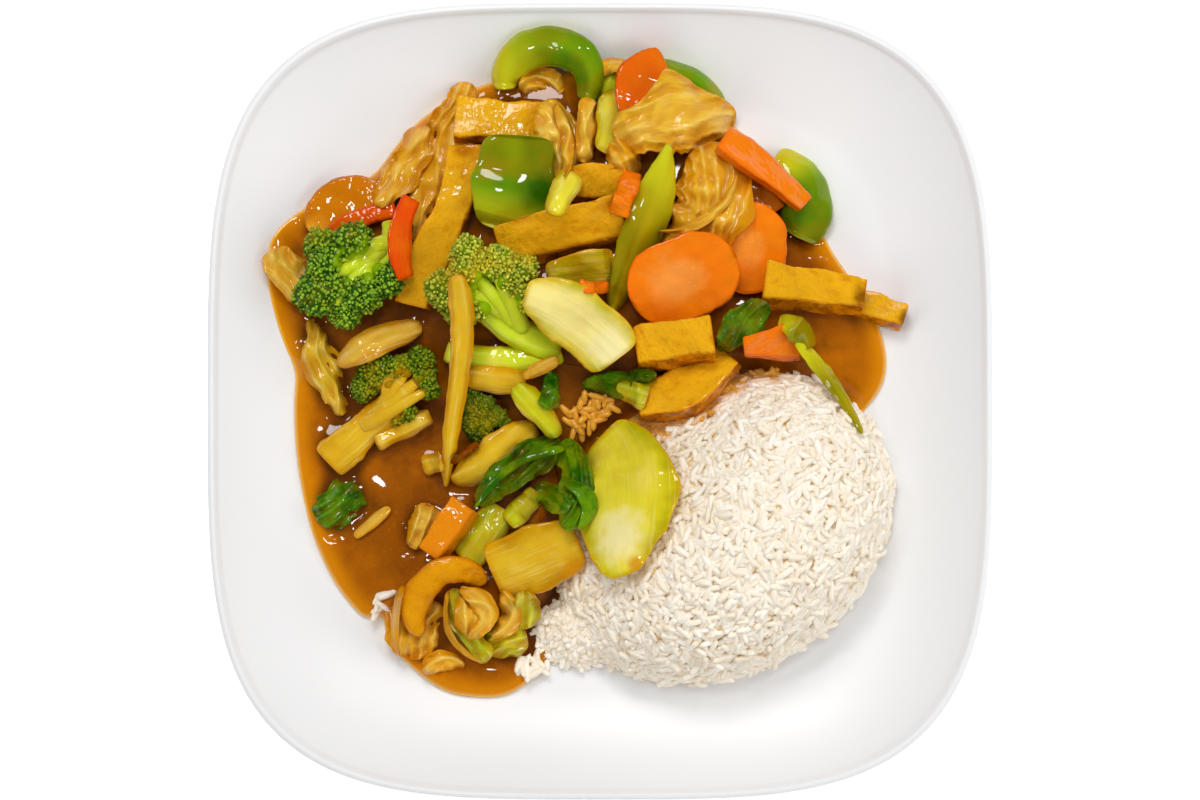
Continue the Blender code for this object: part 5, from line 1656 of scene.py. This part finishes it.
def draped(name, line, widths, thick, kind, seed):
    """The seat of a soft bit: it follows what lies under it, and is pulled taut over hollows."""
    part = np.linspace(0, 1, 16)
    spot, way, place = along(line, part)
    half = np.interp(part, place, widths) / 2
    side_way = np.stack([-way[:, 1], way[:, 0]], axis=1)
    mix = np.linspace(-0.8, 0.8, 5)
    under = spot[:, None] + side_way[:, None] * (half[:, None] * mix)[..., None]
    found = sample(tops, under[..., 0], under[..., 1])
    level = found.mean(axis=1)
    for _ in range(6):
        level[1:-1] = np.maximum(level[1:-1], (level[:-2] + level[2:]) / 2)
    slope = (found[:, -1] - found[:, 0]) / 1.6
    return part, level + thick * 0.3, np.clip(slope, -3, 3)


SLOT_FOR = {stem_finish: "cabbage", leaf_finish: "leaf", carrot_finish: "carrot", pepper_finish: "pepper"}
BIT_RINGS = 48
BIT_SIDES = 36
FIRST_BIT_SEED = 200

tops = top_map()
for count, (name, line, widths, thick, kind, finish, colours, sunk) in enumerate(EXTRAS):
    seed = FIRST_BIT_SEED + count
    piece = make_piece(seed, name, line, widths, thick, kind, draped, BIT_RINGS, BIT_SIDES)
    piece.data.transform(Matrix.Translation((0.0, 0.0, -sunk * MM)))
    piece.data.materials.append(finish(name, *colours))
    dress(piece, None, SLOT_FOR[finish])
print("small bits:", len(EXTRAS))

# %% [markdown]
# ## Grains in the curry
# Where the rice meets the curry, grains have rolled into the sauce and taken its colour, and a few
# white ones stick to its edge.

# %% Loose grains
STREWN = (
    # middle, radii, number, how much sauce they took
    ((3, -8), (15, 11), 110, 1.0),
    ((-73, -70), (3, 5), 16, 0.0),
    ((-23, -90), (5, 3.5), 16, 0.0),
)
OPEN_GAP = 1.6
FIRST_GRAIN_SEED = 400


def strewn(middle, radii, number, chance):
    """Places strewn over an oval, kept where nothing but sauce or rice lies on top."""
    part = np.sqrt((np.arange(number) + 0.5) / number)
    turn = GOLDEN * np.arange(number)
    x = middle[0] + part * np.cos(turn) * radii[0] + chance.normal(0, 0.9, number)
    y = middle[1] + part * np.sin(turn) * radii[1] + chance.normal(0, 0.9, number)
    level = np.maximum(sample(sauce_level, x, y), np.where(rice_reach(x, y) < 1, rice_top(x, y), 0.0))
    bare = sample(tops, x, y) < level + OPEN_GAP
    return np.stack([x, y, np.maximum(level, sample(tops, x, y) - 0.4)], axis=1)[bare]


tops = top_map()
for count, (middle, radii, number, soaked) in enumerate(STREWN):
    chance = np.random.default_rng(FIRST_GRAIN_SEED + count)
    places = strewn(middle, radii, number, chance)
    places[:, 2] += chance.uniform(-0.2, 0.7, len(places))
    normal = np.array([0.0, 0.0, 1.0]) + chance.normal(0, 0.2, places.shape)
    normal /= np.linalg.norm(normal, axis=1, keepdims=True)
    turns = grain_turns(normal, chance, 0.14, *GRAIN)
    fields = {"stain": np.full(len(places), soaked), "shade": chance.uniform(0, 1, len(places))}
    grains = copies("loose_grains_%d" % count, grain_shape, turns, places, fields)
    grains.data.materials.append(rice_material)
    dress(grains, None, "rice")
    print("loose grains:", len(places))

# %% [markdown]
# ## The floor
# The dressed meal has to stay inside the imported solids' box, apart from what may stand proud.
# The floor is plain white paper, which isn't part of the meal.

FLOOR_HALF = 3.0
FLOOR_CORNERS = ((-1, -1), (1, -1), (1, 1), (-1, 1))

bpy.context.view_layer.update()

floor_mesh = bpy.data.meshes.new("floor")
floor_mesh.from_pydata([(x * FLOOR_HALF, y * FLOOR_HALF, 0) for x, y in FLOOR_CORNERS], [], [(0, 1, 2, 3)])
floor = bpy.data.objects.new("floor", floor_mesh)
bpy.context.scene.collection.objects.link(floor)
paper = Recipe("paper", Emission_Color=(1.0, 1.0, 1.0, 1.0), Emission_Strength=0.35)
floor_mesh.materials.append(paper.finish(srgb(252, 252, 252), 0.9))
